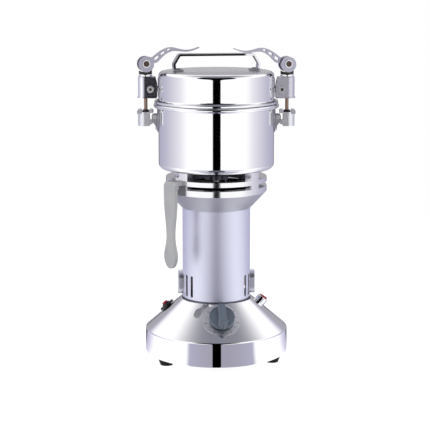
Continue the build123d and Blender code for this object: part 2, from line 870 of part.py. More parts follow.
# ---------------------------------------------------------------- lid and its bail handle
with BuildPart() as lid:
    half = lid_wall / 2
    with BuildSketch(Plane.XZ):
        with BuildLine():
            FilletPolyline(
                (0, lid_top_z - half),
                (lid_r - half, lid_top_z - half),
                (lid_r - half, lip_z),
                radius=lid_corner_r - half,
            )
        trace(line_width=lid_wall)
    revolve(axis=Axis.Z)
    with BuildSketch(Plane.XZ):
        with BuildLine():
            corner = (lid_r, lip_z + lid_lip_height + lid_lip_fillet)
            toe = (lid_r + lid_lip_fillet, lip_z + lid_lip_height)
            RadiusArc(corner, toe, -lid_lip_fillet)
            FilletPolyline(
                toe,
                (lid_lip_r, lip_z + lid_lip_height),
                (lid_lip_r, lip_z),
                (lid_inner_r, lip_z),
                (lid_inner_r, lip_z + lid_lip_height),
                corner,
                radius=[0.8, 0.8, 0, 0],
            )
        make_face()
    revolve(axis=Axis.Z)
    add(lid_rivets.part, mode=Mode.SUBTRACT)
finish(lid.part, "lid")

gasket_depth = 5.0
gasket_height = 8.0
gasket_width = 4.5
with BuildPart() as lid_gasket:
    with BuildSketch(Plane.XZ):
        with BuildLine():
            Polyline(
                (lid_inner_r, lip_z + gasket_height),
                (lid_inner_r, lip_z),
                (bowl_inner_r - 1.3 * part_gap, lip_z),
                (bowl_inner_r - 1.3 * part_gap - 0.8, lip_z - gasket_depth),
                (lid_inner_r - gasket_width, lip_z - gasket_depth),
                (lid_inner_r - gasket_width, lip_z + gasket_height - 2),
                (lid_inner_r - gasket_width + 2, lip_z + gasket_height),
                close=True,
            )
        make_face()
    revolve(axis=Axis.Z)
finish(lid_gasket.part, "lid_gasket")

with BuildPart() as lid_handle:
    # a bent strip, turned on the lid by bail_turn
    half = bail_thickness / 2
    with BuildSketch(radial_section(bail_turn)):
        with BuildLine():
            FilletPolyline(
                (-(bail_foot - bail_tab), lid_top_z + half),
                (-(bail_foot - half), lid_top_z + half),
                (-(bail_knee - half), lid_top_z + bail_knee_height),
                (-(bail_top - half), lid_top_z + bail_height - half),
                (bail_top - half, lid_top_z + bail_height - half),
                (bail_knee - half, lid_top_z + bail_knee_height),
                (bail_foot - half, lid_top_z + half),
                (bail_foot - bail_tab, lid_top_z + half),
                radius=[*bail_rounds, *reversed(bail_rounds)],
            )
        trace(line_width=bail_thickness)
    extrude(amount=bail_width / 2, both=True)
    add(lid_rivets.part, mode=Mode.SUBTRACT)
finish(lid_handle.part, "lid_handle")

# latch plates and lugs on the lid
lug_plate_bottom = lip_z + lug_plate_lift
with BuildPart() as lid_lugs:
    with BuildSketch(Plane.XY.offset(lug_plate_bottom)):
        Circle(lid_r + lug_plate)
        Rectangle(right_through, 2 * lug_plate_half, mode=Mode.INTERSECT)
        Circle(lid_r, mode=Mode.SUBTRACT)
    extrude(amount=lug_plate_height)
    for azimuth in (180, 0):
        with BuildSketch(radial_section(azimuth)):
            with Locations((hinge_reach, hinge_z)):
                Circle(lug_eye_r)
            with Locations(((lid_r + hinge_reach) / 2, hinge_z)):
                Rectangle(hinge_reach - lid_r, 2 * lug_eye_r)
        extrude(amount=lug_half, both=True)
        with BuildSketch(radial_section(azimuth)):
            with Locations((hinge_reach, hinge_z)):
                Circle(hinge_pin_r + running_gap)
        extrude(amount=lug_half, both=True, mode=Mode.SUBTRACT)
    Cylinder(lid_r, 2 * right_through, mode=Mode.SUBTRACT)
    add(lid_rivets.part, mode=Mode.SUBTRACT)
finish(lid_lugs.part, "lid_lugs")

# ---------------------------------------------------------------- keeper brackets on the bowl
keeper_plate_half = 20.0
keeper_foot_half = 7.0
keeper_corner = 10.0
cheek_bottom_z = block_bottom_z - cheek_wall
with BuildPart() as keeper_brackets:
    for azimuth in (180, 0):
        with BuildSketch(tangent_plane(azimuth, 0)):
            with BuildLine():
                FilletPolyline(
                    (-keeper_plate_half, keeper_plate_top),
                    (keeper_plate_half, keeper_plate_top),
                    (keeper_plate_half, keeper_plate_bottom + keeper_corner),
                    (keeper_foot_half, keeper_plate_bottom),
                    (-keeper_foot_half, keeper_plate_bottom),
                    (-keeper_plate_half, keeper_plate_bottom + keeper_corner),
                    radius=2.0,
                    close=True,
                )
            make_face()
        extrude(amount=right_through)
    with BuildSketch(Plane.XY.offset(keeper_plate_bottom)):
        Circle(bowl_r + keeper_plate)
    extrude(amount=keeper_plate_top - keeper_plate_bottom, mode=Mode.INTERSECT)
    for azimuth in (180, 0):
        for side in (-1, 1):
            with BuildSketch(radial_section(azimuth).offset(side * (cheek_inner + cheek_outer) / 2)):
                with BuildLine():
                    FilletPolyline(
                        (bowl_r - 1, cheek_top_z),
                        (cheek_outer_reach, cheek_top_z),
                        (cheek_outer_reach, hook_top_z - pin_lift),
                        (bowl_r + keeper_plate + part_gap, cheek_bottom_z),
                        (bowl_r - 1, cheek_bottom_z),
                        radius=[2.0, 1.5, 0.5],
                    )
                    Line((bowl_r - 1, cheek_bottom_z), (bowl_r - 1, cheek_top_z))
                make_face()
            extrude(amount=(cheek_outer - cheek_inner) / 2, both=True)
    Cylinder(bowl_r, 2 * right_through, mode=Mode.SUBTRACT)
    with BuildSketch(radial_section(0)):
        for side in (-1, 1):
            with Locations((side * keeper_reach, keeper_z)):
                Circle(keeper_pin_r)
    extrude(amount=cheek_outer, both=True, mode=Mode.SUBTRACT)
    add(pan_screws.part, mode=Mode.SUBTRACT)
finish(keeper_brackets.part, "keeper_brackets")

pin_head_height = 1.2
pin_head_step = 1.0
with BuildPart() as keeper_pins:
    for side in (-1, 1):
        with BuildSketch(radial_section(0)):
            with Locations((side * keeper_reach, keeper_z)):
                Circle(keeper_pin_r)
        extrude(amount=cheek_outer + pin_head_height, both=True)
        for face in (-1, 1):
            with BuildSketch(radial_section(0).offset(face * (cheek_outer + pin_head_height / 2))):
                with Locations((side * keeper_reach, keeper_z)):
                    Circle(keeper_pin_r + pin_head_step)
            extrude(amount=pin_head_height / 2, both=True)
finish(keeper_pins.part, "keeper_pins")

# ---------------------------------------------------------------- side handle
handle_outer_r = collar_r + handle_reach
handle_bottom_z = arm_z + handle_arm_thickness / 2 - handle_drop
with BuildPart() as side_handle:
    strip_r = handle_outer_r - handle_thickness / 2
    with BuildSketch(radial_section(handle_azimuth)):
        with BuildLine():
            FilletPolyline(
                (collar_r - 2, arm_z),
                (strip_r, arm_z),
                (strip_r, handle_bottom_z),
                radius=4.0,
            )
        trace(line_width=handle_thickness)
    extrude(amount=handle_top_width, both=True)
    with BuildSketch(tangent_plane(handle_azimuth, 0)):
        with BuildLine():
            Polyline((0, arm_z + 10), (handle_top_width / 2, arm_z + 10), (handle_top_width / 2, arm_z - 4))
            Spline(
                (handle_top_width / 2, arm_z - 4),
                (handle_neck_width / 2 + 1.3, handle_bottom_z + 62),
                (handle_neck_width / 2, handle_bottom_z + 31),
                (handle_paddle_width / 2, handle_bottom_z + 11),
                (0, handle_bottom_z),
                tangents=[(0, -1), (-1, 0)],
            )
            mirror(about=Plane.YZ)
        make_face()
    extrude(amount=right_through, mode=Mode.INTERSECT)
    Cylinder(collar_r, 2 * right_through, mode=Mode.SUBTRACT)
    fillet(side_handle.edges().group_by(Axis.Z)[0], 0.4)
    add(pan_screws.part, mode=Mode.SUBTRACT)
finish(side_handle.part, "side_handle")

# ---------------------------------------------------------------- controls
with BuildPart() as dial_plate:
    # a thin plate rolled to the cone, cut round about the axis of the knob
    dx = dial_thickness / sin(cone_slope)
    with BuildSketch(Plane.XZ):
        with BuildLine():
            Polyline(
                (base_r, shoulder_z),
                (base_r + dx, shoulder_z),
                (tube_r + cone_top_step + dx, cone_top_z),
                (tube_r + cone_top_step, cone_top_z),
                close=True,
            )
        make_face()
    revolve(axis=Axis.Z)
    with BuildSketch(knob_plane):
        Circle(plate_r)
        Circle(timer_shaft_r + part_gap, mode=Mode.SUBTRACT)
    extrude(amount=plate_r / 2, both=True, mode=Mode.INTERSECT)
finish(dial_plate.part, "dial_plate")

knob_base = dial_thickness + knob_lift
knob_draft = 2.0  # taper of the disc, in degrees
grip_top = knob_r - 1.2
grip_waist = -0.4 * knob_r
grip_wide = -knob_r + 2.2
pointer_tip = -knob_r - 2.2
knob_socket = 3.0  # how far the shaft goes into the grip bar
with BuildPart() as timer_knob:
    with BuildSketch(knob_plane.offset(knob_base)):
        Circle(knob_r)
    extrude(amount=knob_disc, taper=knob_draft)
    with BuildSketch(knob_plane.offset(knob_base + knob_lift)):
        with BuildLine():
            FilletPolyline(
                (-grip_width / 2, grip_top),
                (grip_width / 2, grip_top),
                (grip_width / 2, grip_waist),
                (grip_end_width / 2, grip_wide),
                (0, pointer_tip),
                (-grip_end_width / 2, grip_wide),
                (-grip_width / 2, grip_waist),
                radius=[1.5, 1.5, 6, 1.0, 1.0, 1.0, 6],
                close=True,
            )
        make_face()
    extrude(amount=knob_height - knob_lift)
    with BuildSketch(knob_plane.offset(knob_base)):
        Circle(timer_shaft_r)
    extrude(amount=knob_disc + knob_socket, mode=Mode.SUBTRACT)
finish(timer_knob.part, "timer_knob")

shaft_depth = base_wall + 0.6 * timer_depth
bush_r = 2 * timer_shaft_r
with BuildPart() as timer_shaft:
    with BuildSketch(knob_plane.offset(-shaft_depth)):
        Circle(timer_shaft_r)
    extrude(amount=shaft_depth + knob_base + knob_disc + knob_socket)
finish(timer_shaft.part, "timer_shaft")

with BuildPart() as timer_switch:
    # spring timer under the cone, with the bush that carries the shaft
    with BuildSketch(knob_plane.offset(-base_wall - timer_drop)):
        Rectangle(timer_width, timer_height)
    extrude(amount=-timer_depth)
    with BuildSketch(knob_plane.offset(-base_wall - timer_drop)):
        Circle(bush_r)
    extrude(amount=timer_drop - sliding_gap)
    with BuildSketch(knob_plane):
        Circle(timer_shaft_r + running_gap)
    extrude(amount=-shaft_depth - timer_drop - part_gap, mode=Mode.SUBTRACT)
finish(timer_switch.part, "timer_switch")

breaker_seat = 0.5  # the flat flange stands this much off the curved cone
breaker_depth = 16.0
breaker_round = 0.8
button_depth = 1.8  # how deep the button stands in its bore
button_floor = 0.4
button_round = 2.0
with BuildPart() as breaker_body:
    with BuildSketch(breaker_plane.offset(breaker_seat)):
        Circle(breaker_flange_r)
    extrude(amount=breaker_flange)
    fillet(breaker_body.edges().group_by(Axis(breaker_plane.origin, breaker_plane.z_dir))[-1], breaker_round)
    with BuildSketch(breaker_plane.offset(-breaker_depth)):
        Circle(breaker_boss_r)
    extrude(amount=breaker_depth + breaker_boss)
    with BuildSketch(breaker_plane.offset(breaker_boss)):
        Circle(button_r + sliding_gap)
    extrude(amount=-button_depth - button_travel - button_floor, mode=Mode.SUBTRACT)
finish(breaker_body.part, "breaker_body")

with BuildPart() as reset_button:
    with BuildSketch(breaker_plane.offset(breaker_boss - button_depth)):
        Circle(button_r)
    extrude(amount=button_top - breaker_boss + button_depth)
    fillet(reset_button.edges().group_by(Axis(breaker_plane.origin, breaker_plane.z_dir))[-1], button_round)
finish(reset_button.part, "reset_button")

bezel_seat = 0.25  # the flat bezel stands this much off the curved cone
bezel_round = 0.7
switch_depth = 14.0
rocker_gap = 0.75
rocker_room = 1.2  # from the axis of the rocker to the top of the bezel
rocker_axis_height = bezel_height - rocker_room
rocker_floor = rocker_axis_height - rocker_under - 1.2
with BuildPart() as switch_body:
    with BuildSketch(switch_plane.offset(bezel_seat)):
        Circle(bezel_r)
    extrude(amount=bezel_height)
    fillet(switch_body.edges().group_by(Axis(switch_plane.origin, switch_plane.z_dir))[-1], bezel_round)
    with BuildSketch(switch_plane.offset(-switch_depth)):
        Circle(bezel_r - bezel_step)
    extrude(amount=switch_depth + bezel_step)
    with BuildSketch(switch_plane.offset(rocker_floor)):
        Circle(rocker_r + rocker_gap)
    extrude(amount=bezel_height, mode=Mode.SUBTRACT)
finish(switch_body.part, "switch_body")

tilt = radians(rocker_tilt)
rocker_plane = Plane(
    origin=switch_plane.offset(rocker_axis_height).origin,
    x_dir=switch_plane.x_dir,
    z_dir=switch_plane.z_dir * cos(tilt) + switch_plane.y_dir * sin(tilt),
)
with BuildPart() as power_rocker:
    with BuildSketch(rocker_plane.offset(-rocker_under)):
        Circle(rocker_r)
    extrude(amount=rocker_height)
    with BuildSketch(Plane(origin=rocker_plane.origin, x_dir=rocker_plane.y_dir, z_dir=rocker_plane.x_dir)):
        Circle(rocker_pin_r)
    extrude(amount=rocker_r + rocker_gap - sliding_gap, both=True)
finish(power_rocker.part, "power_rocker")

inlet_wall = 2.0
inlet_depth = 5.0
with BuildPart() as inlet_grommet:
    with BuildSketch(tangent_plane(front + 180, base_r - inlet_depth, inlet_z)):
        Circle(inlet_r - inlet_neck)
    extrude(amount=inlet_depth + inlet_flange / 2)
    with BuildSketch(tangent_plane(front + 180, base_r, inlet_z)):
        Circle(inlet_r)
    extrude(amount=inlet_flange)
    with BuildSketch(tangent_plane(front + 180, base_r - inlet_depth, inlet_z)):
        Circle(inlet_r - inlet_neck - inlet_wall)
    extrude(amount=2 * inlet_depth, mode=Mode.SUBTRACT)
finish(inlet_grommet.part, "inlet_grommet")

# ---------------------------------------------------------------- draw latches
lug_room = 0.5
yoke_slot_reach = hinge_reach + lug_eye_r + lug_room
top_plate = 3.4
yoke_flange = 1.0  # the turned-out foot of the yoke
chamfer_lift = 5.7  # above the hinge
chamfer_depth = 2.2
rod_gap = 0.1
rod_foot = 8.0  # how far the rod goes into the block
rod_bore_r = rod_r + rod_gap
rod_bottom_z = nut_z - rod_foot
hinge_head_r = 4.2
hinge_head_height = 1.2
hinge_dimple_r = 1.2
hinge_dimple = 0.2
ring_round = 1.2
cam_clearance = 5.0  # the hollow seat has a larger radius than the cam by this
block_round = 8.0
shoulder_step = 0.9
shoulder_wall = 0.8
shoulder_tuck = 2.0
shoulder_round = 2.6
arm_lift = 1.6  # the arm of the hook above the foot of the block
arm_chamfer = 2.0
nose_width = 1.4
nose_height = 1.2
nut_height = 1.0
nut_dome = 1.6
nut_slope = 30.0
cam_head_r = 4.8
cam_head_height = 1.2
eye_room = 1.0

# the lever's arm and its three holes, as shares of lever_length from the pivot
lever_back = (
    (-0.1252, 0.1086), (-0.2021, 0.1689), (-0.2836, 0.2262), (-0.371, 0.27), (-0.4525, 0.2881),
    (-0.5204, 0.2851), (-0.6033, 0.2655), (-0.6787, 0.2474), (-0.7541, 0.2383), (-0.8296, 0.2428),
    (-0.9125, 0.2624), (-0.9955, 0.2911),
)
lever_belly = (
    (-1, 0.273), (-0.9125, 0.2383), (-0.8296, 0.2157), (-0.7541, 0.2066), (-0.6787, 0.2097),
    (-0.5882, 0.2202), (-0.4977, 0.2187), (-0.4072, 0.1855), (-0.3243, 0.1282), (-0.264, 0.06637),
    (-0.2187, 0.02413), (-0.1131, 0.0181),
)
lever_root = (-0.0483, 0.1207)
lever_holes = (
    ((-0.204, 0.098), -38.0, 0.1, 0.05),
    ((-0.318, 0.184), -34.0, 0.09, 0.042),
    ((-0.43, 0.2465), -22.0, 0.068, 0.032),
)


def build_latch(side, azimuth):
    """All pieces of one latch. The lever leans sideways from the rod by lever_turn."""
    section = radial_section(azimuth)
    x, y = direction(azimuth)
    pivot = (rod_reach * x, rod_reach * y, pivot_z)
    lever_plane = radial_section(azimuth, lever_turn, pivot)

    with BuildPart() as yoke:
        for top, grow in ((yoke_top_z, 0), (yoke_bottom_z + yoke_flange, yoke_flange)):
            with BuildSketch(radial_deck(azimuth, yoke_bottom_z)) as outline:
                middle = (yoke_inner + yoke_outer + grow) / 2
                with Locations((middle, 0)):
                    Rectangle(yoke_outer + grow - yoke_inner, 2 * (yoke_half + grow))
                fillet(outline.vertices().sort_by(Axis.X)[-2:], yoke_corner_r)
            extrude(amount=top - yoke_bottom_z)
        with BuildSketch(section):
            with BuildLine():
                Polyline(
                    (yoke_inner - 1, hinge_z + chamfer_lift),
                    (yoke_inner, hinge_z + chamfer_lift),
                    (yoke_inner + chamfer_depth, yoke_top_z),
                    (yoke_inner - 1, yoke_top_z),
                    close=True,
                )
            make_face()
        extrude(amount=2 * yoke_half, both=True, mode=Mode.SUBTRACT)
        with BuildSketch(section):
            with BuildLine():
                Polyline(
                    (yoke_inner - 1, yoke_bottom_z - 1),
                    (yoke_slot_reach, yoke_bottom_z - 1),
                    (yoke_slot_reach, yoke_top_z - top_plate),
                    (yoke_inner - 1, yoke_top_z - top_plate),
                    close=True,
                )
            make_face()
        extrude(amount=yoke_slot_half, both=True, mode=Mode.SUBTRACT)
        with BuildSketch(section):
            with Locations((hinge_reach, hinge_z)):
                Circle(hinge_pin_r)
        extrude(amount=yoke_half, both=True, mode=Mode.SUBTRACT)
        with BuildSketch(radial_deck(azimuth, yoke_bottom_z)):
            with Locations((rod_reach, 0)):
                Circle(rod_bore_r)
        extrude(amount=yoke_top_z - yoke_bottom_z, mode=Mode.SUBTRACT)
    finish(yoke.part, f"{side}_yoke")

    with BuildPart() as hinge_pin:
        with BuildSketch(section):
            with Locations((hinge_reach, hinge_z)):
                Circle(hinge_pin_r)
        extrude(amount=yoke_half, both=True)
        for face in (-1, 1):
            with BuildSketch(section.offset(face * (yoke_half + hinge_head_height / 2))):
                with Locations((hinge_reach, hinge_z)):
                    Circle(hinge_head_r)
            extrude(amount=hinge_head_height / 2, both=True)
            with BuildSketch(section.offset(face * (yoke_half + hinge_head_height))):
                with Locations((hinge_reach, hinge_z)):
                    Circle(hinge_dimple_r)
            extrude(amount=hinge_dimple, both=True, mode=Mode.SUBTRACT)
    finish(hinge_pin.part, f"{side}_hinge_pin")

    with BuildPart() as clamp_ring:
        with BuildSketch(radial_deck(azimuth, ring_z)):
            with Locations((rod_reach, 0)):
                Circle(ring_r)
        extrude(amount=ring_height)
        fillet(clamp_ring.edges().filter_by(GeomType.CIRCLE), ring_round)
        with BuildSketch(radial_deck(azimuth, ring_z)):
            with Locations((rod_reach, 0)):
                Circle(rod_bore_r)
        extrude(amount=ring_height, mode=Mode.SUBTRACT)
    finish(clamp_ring.part, f"{side}_clamp_ring")

    seat_r = cam_r + cam_clearance
    with BuildPart() as saddle:
        with BuildSketch(radial_deck(azimuth, saddle_z)):
            with Locations((rod_reach, 0)):
                Circle(saddle_r)
                Circle(rod_bore_r, mode=Mode.SUBTRACT)
        extrude(amount=saddle_height)
        with BuildSketch(lever_plane):
            with Locations((0, seat_z + seat_r - pivot_z)):
                Circle(seat_r)
        extrude(amount=right_through, both=True, mode=Mode.SUBTRACT)
    finish(saddle.part, f"{side}_saddle")

    with BuildPart() as rod:
        with BuildSketch(radial_deck(azimuth, rod_bottom_z)):
            with Locations((rod_reach, 0)):
                Circle(rod_r)
        extrude(amount=pivot_z - rod_bottom_z)
        with BuildSketch(lever_plane):
            Circle(eye_r)
        extrude(amount=eye_half, both=True)
        with BuildSketch(lever_plane):
            Circle(cam_pin_r)
        extrude(amount=eye_half, both=True, mode=Mode.SUBTRACT)
    finish(rod.part, f"{side}_rod")

    arm_bottom_z = block_bottom_z + arm_lift
    with BuildPart() as hook_block:
        with BuildSketch(radial_deck(azimuth, block_bottom_z)) as outline:
            with Locations(((block_inner + block_outer) / 2, 0)):
                Rectangle(block_outer - block_inner, 2 * block_half)
            fillet(outline.vertices().sort_by(Axis.X)[-2:], min(block_round, block_half - lug_room))
        extrude(amount=nut_z - block_bottom_z)
        with BuildSketch(section):
            with BuildLine():
                # outer shoulder
                FilletPolyline(
                    (rod_reach + nut_r + shoulder_wall, nut_z - shoulder_tuck),
                    (rod_reach + nut_r + shoulder_wall, shoulder_top_z),
                    (block_outer + shoulder_step, shoulder_top_z),
                    (block_outer + shoulder_step, nut_z - shoulder_tuck),
                    radius=[0.6, shoulder_round],
                )
                Line(
                    (block_outer + shoulder_step, nut_z - shoulder_tuck),
                    (rod_reach + nut_r + shoulder_wall, nut_z - shoulder_tuck),
                )
            make_face()
            with BuildLine():
                # inner shoulder
                FilletPolyline(
                    (block_inner + 0.2, shoulder_bottom_z),
                    (block_inner + 0.2, shoulder_top_z),
                    (hook_reach, shoulder_top_z),
                    (hook_reach, shoulder_bottom_z),
                    radius=[0.4, shoulder_round],
                )
                Line((hook_reach, shoulder_bottom_z), (block_inner + 0.2, shoulder_bottom_z))
            make_face()
        extrude(amount=block_half, both=True)
        with BuildSketch(section):
            with BuildLine():
                # hook arm with a raised nose
                Polyline(
                    (block_inner + 1, arm_bottom_z),
                    (hook_reach + arm_chamfer, arm_bottom_z),
                    (hook_reach, arm_bottom_z + arm_chamfer),
                    (hook_reach, hook_top_z),
                    (hook_reach + nose_width, hook_top_z),
                    (hook_reach + nose_width + nose_height / 2, hook_top_z - nose_height),
                    (block_inner + 1, hook_top_z - nose_height),
                    close=True,
                )
            make_face()
        extrude(amount=hook_half, both=True)
        with BuildSketch(radial_deck(azimuth, rod_bottom_z)):
            with Locations((rod_reach, 0)):
                Circle(rod_r)
        extrude(amount=right_through, mode=Mode.SUBTRACT)
    finish(hook_block.part, f"{side}_hook_block")

    with BuildPart() as rod_nut:
        with BuildSketch(radial_deck(azimuth, nut_z)):
            with Locations((rod_reach, 0)):
                Circle(nut_r)
        extrude(amount=nut_height)
        with BuildSketch(radial_deck(azimuth, nut_z + nut_height)):
            with Locations((rod_reach, 0)):
                Circle(nut_r)
        extrude(amount=nut_dome, taper=nut_slope)
        with BuildSketch(radial_deck(azimuth, nut_z)):
            with Locations((rod_reach, 0)):
                Circle(rod_r)
        extrude(amount=2 * (nut_height + nut_dome), mode=Mode.SUBTRACT)
    finish(rod_nut.part, f"{side}_rod_nut")

    pin_half = lobe_outer + part_gap
    with BuildPart() as cam_pin:
        with BuildSketch(lever_plane):
            Circle(cam_pin_r)
        extrude(amount=pin_half, both=True)
        for face in (-1, 1):
            with BuildSketch(lever_plane.offset(face * (pin_half + cam_head_height / 2))):
                Circle(cam_head_r)
            extrude(amount=cam_head_height / 2, both=True)
    finish(cam_pin.part, f"{side}_cam_pin")

    slot_half = eye_half + part_gap
    with BuildPart() as lever:
        with BuildSketch(lever_plane):
            with Locations((0, -cam_offset)):
                Circle(cam_r)
        extrude(amount=lobe_outer, both=True)
        with BuildSketch(lever_plane):
            # the eye of the rod stands in this slot; the bridge stays on the arm's side
            Circle(2 * cam_r)
            with BuildLine():
                Polyline(
                    (-part_gap, 2 * cam_r),
                    (-part_gap, eye_r + eye_room),
                    (-0.7 * eye_r, eye_r),
                    (-eye_r, 0.7 * eye_r),
                    (-eye_r - eye_room, part_gap),
                    (-2 * cam_r, part_gap),
                    (-2 * cam_r, 2 * cam_r),
                    close=True,
                )
            make_face(mode=Mode.SUBTRACT)
        extrude(amount=slot_half, both=True, mode=Mode.SUBTRACT)
        with BuildSketch(lever_plane):
            with BuildLine():
                back, belly, root = (
                    [(lever_length * px, lever_length * py) for px, py in shares]
                    for shares in (lever_back, lever_belly, [lever_root])
                )
                Spline(*back)
                Line(back[-1], belly[0])
                Spline(*belly)
                Polyline(belly[-1], root[0], back[0])
            make_face()
            for (px, py), angle, length, width in lever_holes:
                with Locations(Location((lever_length * px, lever_length * py), angle)):
                    SlotOverall(lever_length * length, lever_length * width, mode=Mode.SUBTRACT)
        extrude(amount=lever_half, both=True)
        with BuildSketch(lever_plane):
            Circle(cam_pin_r + running_gap)
        extrude(amount=lobe_outer, both=True, mode=Mode.SUBTRACT)
    finish(lever.part, f"{side}_lever")


build_latch("left", 180)
build_latch("right", 0)
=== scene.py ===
"""Electric grain mill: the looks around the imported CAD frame. Metres, +Z up, -Y is the front."""

import math

import bmesh
import bpy
from mathutils import Matrix, Vector


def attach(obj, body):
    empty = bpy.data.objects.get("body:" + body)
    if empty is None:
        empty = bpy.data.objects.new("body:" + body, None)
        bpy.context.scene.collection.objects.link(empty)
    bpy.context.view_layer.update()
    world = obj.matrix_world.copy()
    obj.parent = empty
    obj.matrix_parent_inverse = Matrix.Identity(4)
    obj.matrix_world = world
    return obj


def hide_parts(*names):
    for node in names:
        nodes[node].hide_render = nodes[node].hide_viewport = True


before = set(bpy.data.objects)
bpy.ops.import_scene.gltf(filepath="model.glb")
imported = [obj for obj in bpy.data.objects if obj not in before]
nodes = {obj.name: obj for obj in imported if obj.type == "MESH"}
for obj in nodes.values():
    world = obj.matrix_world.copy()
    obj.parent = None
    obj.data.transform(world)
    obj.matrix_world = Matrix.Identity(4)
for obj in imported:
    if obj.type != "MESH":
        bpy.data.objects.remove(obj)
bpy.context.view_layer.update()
MM = 0.001

# places that part.py gives, in millimetres; BODY_TURN is in degrees, the other angles in radians
BODY_TURN = 6.0
FRONT = math.radians(-90.0 + BODY_TURN)
BASE_R = 88.3
SHOULDER_Z = 37.8
CONE_TOP_Z = 77.4
CONE_RISE = 39.6
CONE_RUN = 45.8
CONE_SLOPE = math.atan2(CONE_RISE, CONE_RUN)
KNOB_AT = 62.0
DIAL_THICKNESS = 0.5
KNOB_BASE = 1.5
KNOB_R = 15.8
KNOB_DISC = 6.5
KNOB_HEIGHT = 13.5
LID_TOP = 357.0
RING_BOTTOM_Z = 210.5
BAIL_TURN = math.radians(8.5)
BAIL_HALF = 9.0
LATCH_X = 86.2
YOKE_EDGE_X = 89.6
PIVOT_Z = 366.2
HINGE_X = 80.0
HINGE_Z = 335.3
LEVER_TURN = math.radians(10.5)
CAM_PIN_FACE = 10.0
HINGE_PIN_FACE = 10.7

# where a look changes within one piece, from and to, in millimetres
# the foot of the tube, darkened as painted shade of the gap at the neck
GAP_SHADE_Z = (CONE_TOP_Z + 0.1, CONE_TOP_Z + 0.5)
MATT_CONE_Z = (RING_BOTTOM_Z - 0.6, RING_BOTTOM_Z - 0.1)
BRUSHED_TOP_Z = (LID_TOP - 0.35, LID_TOP - 0.05)
# the outer part of the left yoke, where a painted highlight is laid on
YOKE_HIGHLIGHT_X = (-YOKE_EDGE_X, -YOKE_EDGE_X + 0.3)
# the sheared edges of the bail, painted dark as shade, and where that painted shade stops toward the right
# leg
BAIL_EDGE = (BAIL_HALF - 0.12, BAIL_HALF - 0.04)
BAIL_RIGHT_X = (34.0, 37.0)
BAIL_FOOT_Z = (LID_TOP + 2.5, LID_TOP + 3.5)

# the band that most values of a noise texture lie in
NOISE_LOW = 0.3
NOISE_HIGH = 0.7


